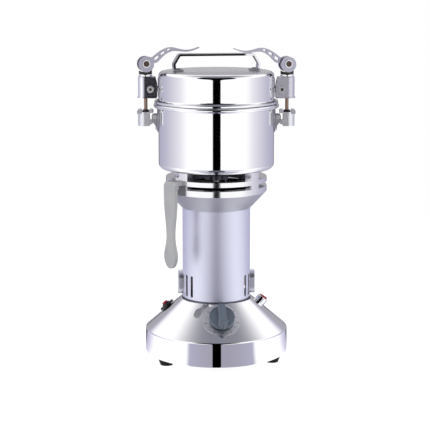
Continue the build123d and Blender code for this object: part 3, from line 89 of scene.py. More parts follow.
# ---------------------------------------------------------------- materials
class Finish:
    """A Principled material with short helpers for its nodes."""

    def __init__(self, name, colour, metallic, roughness, **sockets):
        self.mat = bpy.data.materials.new(name)
        self.mat.use_nodes = True
        self.tree = self.mat.node_tree
        self.shader = self.tree.nodes["Principled BSDF"]
        self.shader.inputs["Base Color"].default_value = (*colour, 1.0)
        self.shader.inputs["Metallic"].default_value = metallic
        self.shader.inputs["Roughness"].default_value = roughness
        for key, value in sockets.items():
            self.shader.inputs[key.replace("_", " ")].default_value = value
        self.colour = colour
        self.place = self.node("ShaderNodeTexCoord").outputs["Object"]
        self.bumps = None

    def node(self, kind, **settings):
        made = self.tree.nodes.new(kind)
        for key, value in settings.items():
            setattr(made, key, value)
        return made

    def link(self, start, end):
        self.tree.links.new(start, end)

    def math(self, operation, *values):
        made = self.node("ShaderNodeMath", operation=operation)
        for socket, value in zip(made.inputs, values):
            if isinstance(value, (int, float)):
                socket.default_value = value
            else:
                self.link(value, socket)
        return made.outputs[0]

    def parts(self):
        """The place as x, y and z."""
        made = self.node("ShaderNodeSeparateXYZ")
        self.link(self.place, made.inputs[0])
        return made.outputs

    def polar(self, along, round_, up):
        """Coordinates (radius, angle, height) about the axis of the mill, each with its own factor."""
        x, y, z = self.parts()
        squares = [self.math("MULTIPLY", value, value) for value in (x, y)]
        radius = self.math("SQRT", self.math("ADD", *squares))
        angle = self.math("ARCTAN2", y, x)
        joined = self.node("ShaderNodeCombineXYZ")
        self.link(self.math("MULTIPLY", radius, along), joined.inputs[0])
        self.link(self.math("MULTIPLY", angle, round_), joined.inputs[1])
        self.link(self.math("MULTIPLY", z, up), joined.inputs[2])
        return joined.outputs[0]

    def noise(self, vector, scale, detail, rough=0.55):
        made = self.node("ShaderNodeTexNoise")
        self.link(vector, made.inputs["Vector"])
        made.inputs["Scale"].default_value = scale
        made.inputs["Detail"].default_value = detail
        made.inputs["Roughness"].default_value = rough
        return made.outputs["Fac"]

    def spread(self, value, low, high, start=NOISE_LOW, end=NOISE_HIGH):
        """From low to high while the value goes from start to end."""
        made = self.node("ShaderNodeMapRange")
        self.link(value, made.inputs["Value"])
        made.inputs["From Min"].default_value = start
        made.inputs["From Max"].default_value = end
        made.inputs["To Min"].default_value = low
        made.inputs["To Max"].default_value = high
        return made.outputs["Result"]

    def after(self, value, start, end):
        """0 up to start and 1 from end on, both in millimetres."""
        return self.spread(value, 0.0, 1.0, start * MM, end * MM)

    def until(self, value, start, end):
        """1 up to start and 0 from end on, both in millimetres."""
        return self.spread(value, 1.0, 0.0, start * MM, end * MM)

    def tone(self, value, darker):
        """Colour between a darker shade and the plain one, by the value."""
        made = self.node("ShaderNodeMix", data_type="RGBA")
        self.link(self.spread(value, 0.0, 1.0), made.inputs["Factor"])
        made.inputs["A"].default_value = (*(c * darker for c in self.colour), 1.0)
        made.inputs["B"].default_value = (*self.colour, 1.0)
        self.link(made.outputs["Result"], self.shader.inputs["Base Color"])

    def rough(self, value, low, high):
        """Roughness from low to high, by the value."""
        self.link(self.spread(value, low, high), self.shader.inputs["Roughness"])

    def bump(self, value, depth, strength):
        """Relief of that depth in millimetres. Each call adds to the one before."""
        made = self.node("ShaderNodeBump")
        made.inputs["Strength"].default_value = strength
        made.inputs["Distance"].default_value = depth * MM
        self.link(value, made.inputs["Height"])
        if self.bumps is not None:
            self.link(self.bumps, made.inputs["Normal"])
        self.bumps = made.outputs["Normal"]
        self.link(self.bumps, self.shader.inputs["Normal"])

    def mix_into(self, socket, kind, factor, value):
        """Mix what the socket has now with another value, by the factor."""
        made = self.node("ShaderNodeMix", data_type=kind)
        self.link(factor, made.inputs["Factor"])
        target = self.shader.inputs[socket]
        if target.is_linked:
            self.link(target.links[0].from_socket, made.inputs["A"])
        else:
            made.inputs["A"].default_value = target.default_value
        made.inputs["B"].default_value = value
        self.link(made.outputs["Result"], target)
        return self

    def blend(self, factor, colour):
        """Mix the colour so far with another one, by the factor."""
        return self.mix_into("Base Color", "RGBA", factor, (*colour, 1.0))

    def slide(self, factor, roughness):
        """Mix the roughness so far with another one, by the factor."""
        return self.mix_into("Roughness", "FLOAT", factor, roughness)

    def soft_edges(self, radius):
        """Edges that catch the light as if rounded by that radius in millimetres."""
        made = self.node("ShaderNodeBevel", samples=6)
        made.inputs["Radius"].default_value = radius * MM
        self.bumps = made.outputs["Normal"]
        self.link(self.bumps, self.shader.inputs["Normal"])


MIRROR_COLOUR = (0.86, 0.86, 0.88)
MIRROR_LOW = 0.025
MIRROR_HIGH = 0.05


def haze(made):
    """Slow changes of sheen on polished sheet."""
    return made.noise(made.place, scale=60.0, detail=4.0)


def polished(name):
    """Mirror-polished sheet: faint haze and the slow waves that a spun wall keeps."""
    made = Finish(name, MIRROR_COLOUR, 1.0, MIRROR_LOW)
    made.rough(haze(made), MIRROR_LOW, MIRROR_HIGH)
    waves = made.noise(made.polar(12.0, 3.0, 9.0), scale=1.0, detail=1.0)
    made.bump(waves, depth=0.03, strength=0.2)
    return made


def brushed(name, colour, low, high, grain, depth, darker):
    """Brushed metal with the grain that the given function lays out."""
    made = Finish(name, colour, 1.0, low)
    lines = made.noise(grain(made), scale=1.0, detail=5.0, rough=0.65)
    made.tone(lines, darker)
    made.rough(lines, low, high)
    made.bump(lines, depth, strength=0.6)
    return made


def moulded(name, colour, low, high, edge=0.0, grain=900.0, depth=0.03, **sockets):
    """Plastic, rubber or paint: fine grain, slow changes of sheen, worn-soft edges."""
    made = Finish(name, colour, 0.0, low, **sockets)
    if edge:
        made.soft_edges(edge)
    made.tone(made.noise(made.place, scale=35.0, detail=3.0), darker=0.86)
    made.rough(made.noise(made.place, scale=120.0, detail=3.0), low, high)
    made.bump(made.noise(made.place, grain, detail=2.0), depth, strength=0.5)
    return made


def around(made):
    return made.polar(9000.0, 2.0, 60.0)


def upright(made):
    return made.polar(80.0, 260.0, 14.0)


def lathe_lines(made):
    return made.polar(2500.0, 1.5, 4200.0)


def lid_finish():
    """The flat top of the lid is brushed round its axis; its wall stays a mirror."""
    made = polished("lid_steel")
    lines = made.noise(made.polar(7000.0, 1.2, 0.0), scale=1.0, detail=4.0, rough=0.6)
    on_top = made.after(made.parts()[2], *BRUSHED_TOP_Z)
    top_rough = made.math("MULTIPLY", made.spread(lines, 0.2, 0.34), on_top)
    wall_rough = made.spread(haze(made), 0.03, 0.06)
    made.link(made.math("MAXIMUM", top_rough, wall_rough), made.shader.inputs["Roughness"])
    made.bump(made.math("MULTIPLY", lines, on_top), depth=0.03, strength=0.7)
    return made


def tube_finish():
    """Brushed tube with a dark line of painted shade where it goes into the neck of the base: the gap there
    is real, its shade is painted into the colour.
    """
    made = brushed("tube_aluminium", (0.80, 0.80, 0.93), 0.42, 0.52, upright, 0.015, 0.95)
    # painted shade: the foot of the tube is darkened for the shade in the gap at the neck
    gap_shade = made.until(made.parts()[2], *GAP_SHADE_Z)
    return made.blend(gap_shade, (0.16, 0.16, 0.19))


def collar_finish():
    """Turned collar; its cone is matt under the bright rings."""
    made = brushed("collar_aluminium", (0.86, 0.86, 0.88), 0.09, 0.17, lathe_lines, 0.01, 0.94)
    matt = made.until(made.parts()[2], *MATT_CONE_Z)
    return made.blend(matt, (0.62, 0.62, 0.67)).slide(matt, 0.46)


def left_yoke_reflection_finish():
    """Steel of the left yoke with painted reflections: its colour darkened for the dark gap that its flat
    front mirrors, and a painted highlight on its outer, rounded part.
    """
    made = brushed("left_yoke_painted_reflection", (0.44, 0.44, 0.53), 0.12, 0.18, lathe_lines, 0.01, 0.92)
    # painted highlight on the outer part of the left yoke
    outer = made.until(made.parts()[0], *YOKE_HIGHLIGHT_X)
    return made.blend(outer, (0.86, 0.86, 0.92))


def bail_finish():
    """The sheared edges carry painted shade, near black but not on the right leg; the feet have the grey of
    the lid's top.
    """
    made = brushed("bail_steel", (0.78, 0.78, 0.82), 0.16, 0.26, upright, 0.01, 0.93)
    x, y, z = made.parts()
    from_y = made.math("MULTIPLY", y, math.cos(BAIL_TURN))
    from_x = made.math("MULTIPLY", x, math.sin(BAIL_TURN))
    across = made.math("SUBTRACT", from_y, from_x)
    edge = made.after(made.math("ABSOLUTE", across), *BAIL_EDGE)
    # painted shade: near-black sheared edges, left off the right leg
    dark = made.math("MULTIPLY", edge, made.until(x, *BAIL_RIGHT_X))
    made.blend(dark, (0.012, 0.012, 0.014)).slide(dark, 0.4)
    foot = made.until(z, *BAIL_FOOT_Z)
    return made.blend(foot, (0.34, 0.34, 0.36)).slide(foot, 0.4)


chrome = polished("chrome")
mirror_bowl = polished("bowl_steel")
mirror_lid = lid_finish()
mirror_base = polished("base_steel")
tube_metal = tube_finish()
collar_metal = collar_finish()
cover_metal = brushed("cover_aluminium", (0.74, 0.74, 0.80), 0.3, 0.42, upright, 0.02, 0.93)
plain_steel = brushed("plain_steel", (0.72, 0.72, 0.74), 0.22, 0.34, lathe_lines, 0.02, 0.9)
bright_steel = brushed("bright_steel", (0.84, 0.84, 0.86), 0.1, 0.2, upright, 0.01, 0.93)
satin_steel = brushed("satin_steel", (0.66, 0.65, 0.73), 0.34, 0.44, lathe_lines, 0.01, 0.93)
soft_steel = brushed("soft_steel", (0.80, 0.80, 0.85), 0.28, 0.38, lathe_lines, 0.01, 0.93)
bracket_steel = brushed("bracket_steel", (0.52, 0.51, 0.56), 0.3, 0.42, lathe_lines, 0.02, 0.85)
lever_steel = brushed("lever_steel", (0.46, 0.45, 0.54), 0.28, 0.38, lathe_lines, 0.01, 0.9)
rivet_steel = brushed("rivet_steel", (0.40, 0.40, 0.42), 0.34, 0.44, lathe_lines, 0.01, 0.9)
left_yoke_painted_reflection = left_yoke_reflection_finish()
bail_steel = bail_finish()
dial_metal = brushed("dial_aluminium", (0.80, 0.80, 0.83), 0.3, 0.4, around, 0.01, 0.94)
bronze = brushed("bronze", (0.35, 0.24, 0.19), 0.26, 0.4, lathe_lines, 0.03, 0.75)
brass = brushed("brass", (0.70, 0.52, 0.24), 0.22, 0.36, lathe_lines, 0.02, 0.85)
copper = brushed("copper", (0.72, 0.34, 0.18), 0.24, 0.38, lathe_lines, 0.05, 0.7)
core = brushed("core_steel", (0.34, 0.34, 0.36), 0.4, 0.55, lathe_lines, 0.05, 0.75)
# painted shade: near-black steel for the bearing bracket inside the collar, for the shade seen through its
# openings
interior_painted_shade = brushed("dark_steel", (0.10, 0.10, 0.12), 0.2, 0.32, upright, 0.02, 0.8)
carbon = moulded("carbon", (0.02, 0.02, 0.022), 0.5, 0.7)
# painted reflection: the dark middle that a domed polished pin head mirrors
pin_painted_reflection = moulded("pin_painted_reflection", (0.055, 0.03, 0.02), 0.3, 0.45)
rubber = moulded("rubber", (0.010, 0.010, 0.011), 0.5, 0.65, 0.4, 700.0, 0.05, Specular_IOR_Level=0.12)
seal = moulded("silicone", (0.55, 0.55, 0.56), 0.45, 0.6, 0.3)
black = moulded("black_plastic", (0.010, 0.010, 0.012), 0.22, 0.36, 0.35, 1200.0, 0.02)
grey = moulded("grey_plastic", (0.105, 0.13, 0.17), 0.26, 0.4, 0.4, 1100.0, 0.02)
paint = moulded("handle_paint", (0.42, 0.42, 0.43), 0.42, 0.55, 0.5, 1500.0, 0.03)
red = moulded("red_plastic", (0.35, 0.015, 0.035), 0.2, 0.3, 0.4, 1200.0, 0.015)
ink = moulded("dial_ink", (0.03, 0.03, 0.035), 0.45, 0.6)

LOOKS = {
    "base_shell": mirror_base,
    "base_plate": plain_steel,
    "rubber_feet": rubber,
    "foot_screws": plain_steel,
    "motor_tube": tube_metal,
    "brush_covers": cover_metal,
    "brush_holders": brass,
    "carbon_brushes": carbon,
    "stator_core": core,
    "stator_coils": copper,
    "lower_bearing_bracket": plain_steel,
    "upper_bearing_bracket": interior_painted_shade,
    "bearings": plain_steel,
    "motor_shaft": plain_steel,
    "rotor_core": core,
    "commutator": copper,
    "cooling_fan": black,
    "lower_blade": plain_steel,
    "upper_blade": plain_steel,
    "blade_spacer": plain_steel,
    "blade_nut": bright_steel,
    "vent_collar": collar_metal,
    "bowl": mirror_bowl,
    "shaft_seal": rubber,
    "lid": mirror_lid,
    "lid_gasket": seal,
    "lid_handle": bail_steel,
    "lid_lugs": satin_steel,
    "lid_rivets": rivet_steel,
    "keeper_brackets": bracket_steel,
    "keeper_pins": soft_steel,
    "side_handle": paint,
    "pan_screws": plain_steel,
    "dial_plate": dial_metal,
    "timer_knob": grey,
    "timer_shaft": plain_steel,
    "timer_switch": black,
    "breaker_body": black,
    "reset_button": red,
    "switch_body": chrome,
    "power_rocker": red,
    "inlet_grommet": black,
}
LATCH_LOOKS = {
    "yoke": satin_steel,
    "hinge_pin": soft_steel,
    "clamp_ring": chrome,
    "saddle": black,
    "rod": bronze,
    "hook_block": soft_steel,
    "rod_nut": black,
    "cam_pin": soft_steel,
    "lever": lever_steel,
}
for side in ("left", "right"):
    for piece, look in LATCH_LOOKS.items():
        LOOKS[f"{side}_{piece}"] = look

# the left yoke takes the steel with painted reflection and painted highlight; the right one keeps satin
# steel
LOOKS["left_yoke"] = left_yoke_painted_reflection

for name, node in nodes.items():
    for place in node.material_slots:
        place.material = LOOKS[name].mat


# ---------------------------------------------------------------- mesh helpers
def mesh_piece(name, bm, look, body, smooth=35.0):
    """An object from bm, its vertices in metres in the frame."""
    bmesh.ops.recalc_face_normals(bm, faces=bm.faces)
    data = bpy.data.meshes.new(name)
    bm.to_mesh(data)
    bm.free()
    data.polygons.foreach_set("use_smooth", [True] * len(data.polygons))
    data.set_sharp_from_angle(angle=math.radians(smooth))
    obj = bpy.data.objects.new(name, data)
    bpy.context.scene.collection.objects.link(obj)
    data.materials.append(look.mat)
    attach(obj, body)
    return obj


def put(bm, matrix):
    """Move a mesh that is drawn in millimetres to its place, in metres."""
    bmesh.ops.transform(bm, matrix=matrix, verts=bm.verts)
    bmesh.ops.scale(bm, vec=(MM, MM, MM), verts=bm.verts)


def lathe(bm, profile, steps):
    """Surface of revolution about z. The profile runs in (radius, height); a fan closes it at radius 0."""
    rows = []
    for r, z in profile:
        if r <= 1e-6:
            rows.append([bm.verts.new((0, 0, z))])
        else:
            turn = [2 * math.pi * i / steps for i in range(steps)]
            rows.append([bm.verts.new((r * math.cos(a), r * math.sin(a), z)) for a in turn])
    for low, high in zip(rows, rows[1:]):
        for i in range(steps):
            j = (i + 1) % steps
            if len(high) == 1:
                bm.faces.new((low[i], low[j], high[0]))
            elif len(low) == 1:
                bm.faces.new((low[0], high[j], high[i]))
            else:
                bm.faces.new((low[i], low[j], high[j], high[i]))
    if len(rows[0]) > 1:
        bm.faces.new(reversed(rows[0]))
    if len(rows[-1]) > 1:
        bm.faces.new(rows[-1])


def cone_frame(azimuth, r):
    """Matrix of the plane that touches the cone: x sideways, y uphill, z outward, in millimetres."""
    out = Vector((math.cos(azimuth), math.sin(azimuth), 0))
    side = Vector((-out.y, out.x, 0))
    normal = out * math.sin(CONE_SLOPE) + Vector((0, 0, math.cos(CONE_SLOPE)))
    uphill = normal.cross(side)
    origin = out * r + Vector((0, 0, SHOULDER_Z + (BASE_R - r) * math.tan(CONE_SLOPE)))
    made = Matrix((side, uphill, normal)).transposed().to_4x4()
    made.translation = origin
    return made


knob_frame = cone_frame(FRONT, KNOB_AT)


# ---------------------------------------------------------------- painted reflections: dark discs on the ends of the pins
CAM_DISC_R = 3.6
HINGE_DISC_R = 1.8
DISC_SINK = 0.2
DISC_WALL = 0.02
DISC_BEVEL = 0.06
DISC_TOP = 0.08
DISC_FLAT_SHARE = 0.7


def pin_reflection_disc(name, centre, along, face, radius, body):
    """Thin dark disc of painted reflection on the end of a pin whose head stands at that distance from
    centre, in millimetres.
    """
    bm = bmesh.new()
    profile = [
        (radius, -DISC_SINK),
        (radius, DISC_WALL),
        (radius * DISC_FLAT_SHARE, DISC_BEVEL),
        (0.0, DISC_TOP),
    ]
    lathe(bm, profile, 24)
    turn = along.to_track_quat("Z", "Y").to_matrix().to_4x4()
    put(bm, Matrix.Translation(centre + along * face) @ turn)
    mesh_piece(name, bm, pin_painted_reflection, body)


def pin_reflection_discs():
    """Painted reflections: dark discs on both ends of the cam pin and of the hinge pin, on either side."""
    for side, sign in (("left", -1), ("right", 1)):
        lean = Vector((sign * math.sin(LEVER_TURN), -sign * math.cos(LEVER_TURN), 0))
        cam = Vector((sign * LATCH_X, 0, PIVOT_Z))
        hinge = Vector((sign * HINGE_X, 0, HINGE_Z))
        for end in (-1, 1):
            cam_name = f"{side}_cam_middle_{end}"
            pin_reflection_disc(cam_name, cam, lean * end, CAM_PIN_FACE, CAM_DISC_R, f"{side}_rod")
            across = Vector((0, end, 0))
            hinge_name = f"{side}_hinge_middle_{end}"
            pin_reflection_disc(hinge_name, hinge, across, HINGE_PIN_FACE, HINGE_DISC_R, f"{side}_yoke")


# ---------------------------------------------------------------- the knob
# levels of the grip bar: share of its outline and height
BAR_LEVELS = (
    (1.0, KNOB_DISC - 2.4),
    (1.0, KNOB_HEIGHT - 2.2),
    (0.94, KNOB_HEIGHT - 1.2),
    (0.8, KNOB_HEIGHT - 0.8),
)
# the bar's length shrinks by this part of what its width does
LENGTH_PART = 0.25
# the crown's shares of the outline's width and length, and its depth under the knob's height
CROWN_WIDTH = 0.45
CROWN_LENGTH = 0.9
CROWN_DEPTH = 0.55


def knob_outline():
    """Half outline of the grip bar, from its upper end to the tip of the pointer."""
    return [
        (3.6, KNOB_R - 0.9), (4.75, KNOB_R - 2.2), (4.75, 6.0), (4.8, 0.0), (5.0, -5.0), (5.6, -9.5),
        (6.1, -12.6), (5.2, -14.2), (2.6, -16.4), (0.9, -17.7),
    ]


def knob():
    """Round disc with a rolled rim and a grip bar across it that ends in a pointer."""
    bm = bmesh.new()
    rings = [
        (KNOB_R - 0.5, 0.0), (KNOB_R, 0.5), (KNOB_R - 0.1, KNOB_DISC - 1.0),
        (KNOB_R - 0.45, KNOB_DISC - 0.25), (KNOB_R - 1.1, KNOB_DISC), (KNOB_R - 1.7, KNOB_DISC - 0.1),
        (KNOB_R - 2.3, KNOB_DISC - 0.7), (KNOB_R - 5.0, KNOB_DISC - 0.8), (0.0, KNOB_DISC - 0.8),
    ]
    lathe(bm, rings, 96)
    half = knob_outline()
    outline = half + [(-x, y) for x, y in reversed(half)]
    rows = []
    for share, z in BAR_LEVELS:
        rows.append([bm.verts.new((x * share, y - y * (1 - share) * LENGTH_PART, z)) for x, y in outline])
    crown_z = KNOB_HEIGHT - CROWN_DEPTH
    crown = [bm.verts.new((x * CROWN_WIDTH, y * CROWN_LENGTH, crown_z)) for x, y in outline]
    rows.append(crown)
    for low, high in zip(rows, rows[1:]):
        for i in range(len(outline)):
            j = (i + 1) % len(outline)
            bm.faces.new((low[i], low[j], high[j], high[i]))
    bm.faces.new(crown)
    bm.faces.new(reversed(rows[0]))
    put(bm, knob_frame @ Matrix.Translation((0, 0, KNOB_BASE)))
    made = mesh_piece("knob", bm, grey, "timer_knob", 30.0)
    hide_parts("timer_knob")


knob()
pin_reflection_discs()


# ---------------------------------------------------------------- marks on the dial plate
# ticks and numbers, in millimetres and degrees from the knob's right
TICKS = 13
TICK_START = -60
TICK_STEP = 25
TICK_INNER = 17.6
TICK_LONG = 19.6
TICK_SHORT = 19.0
TICK_HALF = 0.3
INK_DEPTH = 0.05
NUMBERS = (("0", -60), ("5", -10), ("10", 40), ("15", 140), ("20", 190), ("25", 240))
NUMBER_R = 21.0
NUMBER_SIZE = 2.6
NUMBER_HALF_DEPTH = 0.02
NUMBER_LIFT = 0.03
# how far under and over the knob's plane the plate is looked for
SEARCH_LOW = -6.0
SEARCH_HIGH = 3.0


def on_dial(x, y, lift):
    """Point in metres on the rolled plate, above (x, y) of the knob's plane and lifted, in millimetres."""
    outer = DIAL_THICKNESS / math.cos(CONE_SLOPE) + lift
    low, high = SEARCH_LOW, SEARCH_HIGH
    for _ in range(30):
        middle = (low + high) / 2
        p = knob_frame @ Vector((x, y, middle))
        surface = SHOULDER_Z + (BASE_R - math.hypot(p.x, p.y)) * math.tan(CONE_SLOPE) + outer
        if p.z > surface:
            high = middle
        else:
            low = middle
    return knob_frame @ Vector((x, y, (low + high) / 2)) * MM


def dial_ticks():
    """Ticks round the knob, as thin ink on the plate."""
    bm = bmesh.new()
    for i in range(TICKS):
        angle = math.radians(TICK_START + TICK_STEP * i)
        along = Vector((math.cos(angle), math.sin(angle)))
        across = Vector((-along.y, along.x))
        outer = TICK_SHORT if i % 2 else TICK_LONG
        corners = [
            along * TICK_INNER - across * TICK_HALF,
            along * outer - across * TICK_HALF,
            along * outer + across * TICK_HALF,
            along * TICK_INNER + across * TICK_HALF,
        ]
        bottom = [bm.verts.new(on_dial(c.x, c.y, 0.0)) for c in corners]
        top = [bm.verts.new(on_dial(c.x, c.y, INK_DEPTH)) for c in corners]
        bm.faces.new(top)
        bm.faces.new(reversed(bottom))
        for a in range(4):
            b = (a + 1) % 4
            bm.faces.new((bottom[a], bottom[b], top[b], top[a]))
    mesh_piece("dial_ticks", bm, ink, "mill")


def dial_number(text, angle):
    """A plain number of ink beside its tick."""
    curve = bpy.data.curves.new("number", "FONT")
    curve.body = text
    curve.size = NUMBER_SIZE
    curve.align_x = "CENTER"
    curve.align_y = "CENTER"
    curve.extrude = NUMBER_HALF_DEPTH
    curve.resolution_u = 3
    holder = bpy.data.objects.new("number", curve)
    bpy.context.scene.collection.objects.link(holder)
    flat = bpy.data.meshes.new_from_object(holder)
    bpy.data.objects.remove(holder)
    bm = bmesh.new()
    bm.from_mesh(flat)
    bpy.data.meshes.remove(flat)
    cx = NUMBER_R * math.cos(math.radians(angle))
    cy = NUMBER_R * math.sin(math.radians(angle))
    for v in bm.verts:
        v.co = on_dial(cx + v.co.x, cy + v.co.y, NUMBER_LIFT + v.co.z)
    mesh_piece(f"dial_number_{text}", bm, ink, "mill")


dial_ticks()
for text, angle in NUMBERS:
    dial_number(text, angle)


# ---------------------------------------------------------------- what mirrors see
WHITE = (1.0, 1.0, 1.0)
BLACK = (0.0, 0.0, 0.0)
# the studio is turned a little to the right, and brighter than white to mirrors
STUDIO_TURN = math.radians(0.8)
STUDIO_GAIN = 1.2
# the floor: distances from the axis in metres, angles from the front in degrees
NEAR_TO_FAR = (0.24, 0.34)
NEAR_GAP_EDGE = (6.4, 7.4)
SKIRT_ASIDE = 7.0
SKIRT_STRAIGHT = (70.0, 95.0)
FAR_GAP_COLOUR = (0.10, 0.10, 0.13)
FAR_GAP_REACH = (0.95, 0.45)
FAR_GAP_HALF = (8.0, 18.0)
FAR_GAP_INSIDE = 2.0
FAR_GAP_OUTSIDE = 4.0
# the walls: heights as the upward part of the direction, angles from the front in degrees
WALL_GAP_Z = (0.03, 0.55)
WALL_GAP_HALF = (7.8, 44.0)
WALL_GAP_BLUR = 0.8
WHITE_Z = (0.28, 0.50)
BEHIND_COLOUR = (0.36, 0.35, 0.37)
BEHIND_Z = (-0.02, 0.10)
BEHIND_FROM = (144.0, 158.0)
OVERHEAD_COLOUR = (0.22, 0.22, 0.26)
OVERHEAD_Z = (0.70, 1.0)
OVERHEAD_LEAN = 0.07
# colours by the angle from the front, in degrees: of the walls, then of the floor near the skirt and
# further out
SIDE_STOPS = (
    (58.0, (1.0, 1.0, 1.0)),
    (78.0, (0.76, 0.75, 0.80)),
    (95.0, (0.63, 0.62, 0.69)),
    (118.0, (0.49, 0.48, 0.58)),
    (140.0, (0.42, 0.41, 0.52)),
    (158.0, (0.37, 0.36, 0.46)),
    (167.0, (0.08, 0.08, 0.09)),
)
SKIRT_STOPS = (
    (10.0, (0.34, 0.33, 0.40)),
    (30.0, (0.37, 0.36, 0.44)),
    (50.0, (0.42, 0.41, 0.52)),
    (56.0, (1.0, 1.0, 1.0)),
    (108.0, (1.0, 1.0, 1.0)),
    (122.0, (0.62, 0.60, 0.74)),
    (133.0, (0.42, 0.41, 0.54)),
    (138.0, (0.10, 0.10, 0.12)),
)
TUBE_STOPS = (
    (15.0, (0.54, 0.54, 0.61)),
    (45.0, (0.72, 0.72, 0.78)),
    (65.0, (1.0, 1.0, 1.0)),
    (85.0, (1.0, 1.0, 1.0)),
    (110.0, (0.62, 0.62, 0.70)),
    (140.0, (0.44, 0.44, 0.54)),
    (170.0, (0.40, 0.40, 0.48)),
)


def studio_colour(tree, floor):
    """What mirrors see, by the direction round the mill: a dark gap in front, soft boxes, grey behind."""
    new, link = tree.nodes.new, tree.links.new
    coord = new("ShaderNodeTexCoord")
    parts = new("ShaderNodeSeparateXYZ")
    link(coord.outputs["Object" if floor else "Generated"], parts.inputs[0])
    x, y, z = parts.outputs

    def op(operation, *values):
        made = new("ShaderNodeMath")
        made.operation = operation
        for socket, value in zip(made.inputs, values):
            if isinstance(value, (int, float)):
                socket.default_value = value
            else:
                link(value, socket)
        return made.outputs[0]

    def fade(value, start, end, low=0.0, high=1.0):
        made = new("ShaderNodeMapRange")
        made.interpolation_type = "SMOOTHSTEP"
        link(value, made.inputs["Value"])
        for key, number in (("From Min", start), ("From Max", end), ("To Min", low), ("To Max", high)):
            if isinstance(number, (int, float)):
                made.inputs[key].default_value = number
            else:
                link(number, made.inputs[key])
        return made.outputs["Result"]

    def mix(factor, a, b):
        made = new("ShaderNodeMix")
        made.data_type = "RGBA"
        link(factor, made.inputs["Factor"])
        for socket, value in (("A", a), ("B", b)):
            if isinstance(value, tuple):
                made.inputs[socket].default_value = (*value, 1.0)
            else:
                link(value, made.inputs[socket])
        return made.outputs["Result"]

    def by_angle(degrees, colours):
        ramp = new("ShaderNodeValToRGB")
        link(op("DIVIDE", degrees, 180.0), ramp.inputs["Fac"])
        stops = ramp.color_ramp.elements
        while len(stops) < len(colours):
            stops.new(0.5)
        for stop, (degree, colour) in zip(stops, colours):
            stop.position = degree / 180.0
            stop.color = (*colour, 1.0)
        return ramp.outputs["Color"]

    # a wall that bends round the axis mirrors the floor as if seen from half its radius
    forward = op("MULTIPLY", op("ADD", y, BASE_R * MM / 2 if floor else 0.0), -1.0)
    angle = op("SUBTRACT", op("ARCTAN2", x, forward), STUDIO_TURN)
    degrees = op("MULTIPLY", op("ABSOLUTE", angle), 180.0 / math.pi)
    if floor:
        reach = op("SQRT", op("ADD", op("MULTIPLY", x, x), op("MULTIPLY", y, y)))
        half = fade(reach, *FAR_GAP_REACH, *FAR_GAP_HALF)
        gap_from = op("SUBTRACT", half, FAR_GAP_INSIDE)
        gap_to = op("ADD", half, FAR_GAP_OUTSIDE)
        gap = fade(degrees, gap_from, gap_to, 1.0, 0.0)
        far = mix(gap, by_angle(degrees, TUBE_STOPS), FAR_GAP_COLOUR)
        aside = fade(degrees, *SKIRT_STRAIGHT, SKIRT_ASIDE, 0.0)
        turned = op("SUBTRACT", op("MULTIPLY", angle, 180.0 / math.pi), aside)
        near = by_angle(op("ABSOLUTE", turned), SKIRT_STOPS)
        near = mix(fade(degrees, *NEAR_GAP_EDGE, 1.0, 0.0), near, BLACK)
        return mix(fade(reach, *NEAR_TO_FAR), near, far)
    behind = op("MULTIPLY", fade(z, *BEHIND_Z), fade(degrees, *BEHIND_FROM))
    colour = mix(behind, by_angle(degrees, SIDE_STOPS), BEHIND_COLOUR)
    colour = mix(fade(z, *WHITE_Z), colour, WHITE)
    # the dark gap opens out upward, as between two boxes seen in a rounded corner
    half = fade(z, *WALL_GAP_Z, *WALL_GAP_HALF)
    gap_from = op("SUBTRACT", half, WALL_GAP_BLUR)
    gap_to = op("ADD", half, WALL_GAP_BLUR)
    colour = mix(fade(degrees, gap_from, gap_to, 1.0, 0.0), colour, BLACK)
    # overhead it is grey, a little more so to the right
    leaning = op("ADD", z, op("MULTIPLY", x, OVERHEAD_LEAN))
    return mix(fade(leaning, *OVERHEAD_Z), colour, OVERHEAD_COLOUR)


# ---------------------------------------------------------------- stage and light
FLOOR_R = 1.05
FLOOR_COLOUR = (0.9, 0.9, 0.9)
FLOOR_GLOW = 1.22
FLOOR_GLOW_SHARE = 0.75
ROOM_COLOUR = (0.97, 0.98, 1.0)
ROOM_STRENGTH = 0.55


def glow(tree, kind, colour, strength):
    """Shader that gives off light, of a plain colour or of one that a socket gives."""
    made = tree.nodes.new(kind)
    if isinstance(colour, tuple):
        made.inputs["Color"].default_value = (*colour, 1.0)
    else:
        tree.links.new(colour, made.inputs["Color"])
    made.inputs["Strength"].default_value = strength
    return made.outputs[0]


def mixed(tree, factor, first, second):
    """The first shader where the factor is 0 and the second where it is 1."""
    made = tree.nodes.new("ShaderNodeMixShader")
    if isinstance(factor, float):
        made.inputs["Fac"].default_value = factor
    else:
        tree.links.new(factor, made.inputs["Fac"])
    tree.links.new(first, made.inputs[1])
    tree.links.new(second, made.inputs[2])
    return made.outputs[0]


def by_ray(tree, plain, seen, mirrored):
    """One shader for what the camera sees, one for reflections and a plain one for the rest."""
    paths = tree.nodes.new("ShaderNodeLightPath")
    either = tree.nodes.new("ShaderNodeMath")
    either.operation = "MAXIMUM"
    tree.links.new(paths.outputs["Is Camera Ray"], either.inputs[0])
    tree.links.new(paths.outputs["Is Transmission Ray"], either.inputs[1])
    matt = mixed(tree, either.outputs[0], plain, seen)
    return mixed(tree, paths.outputs["Is Glossy Ray"], matt, mirrored)


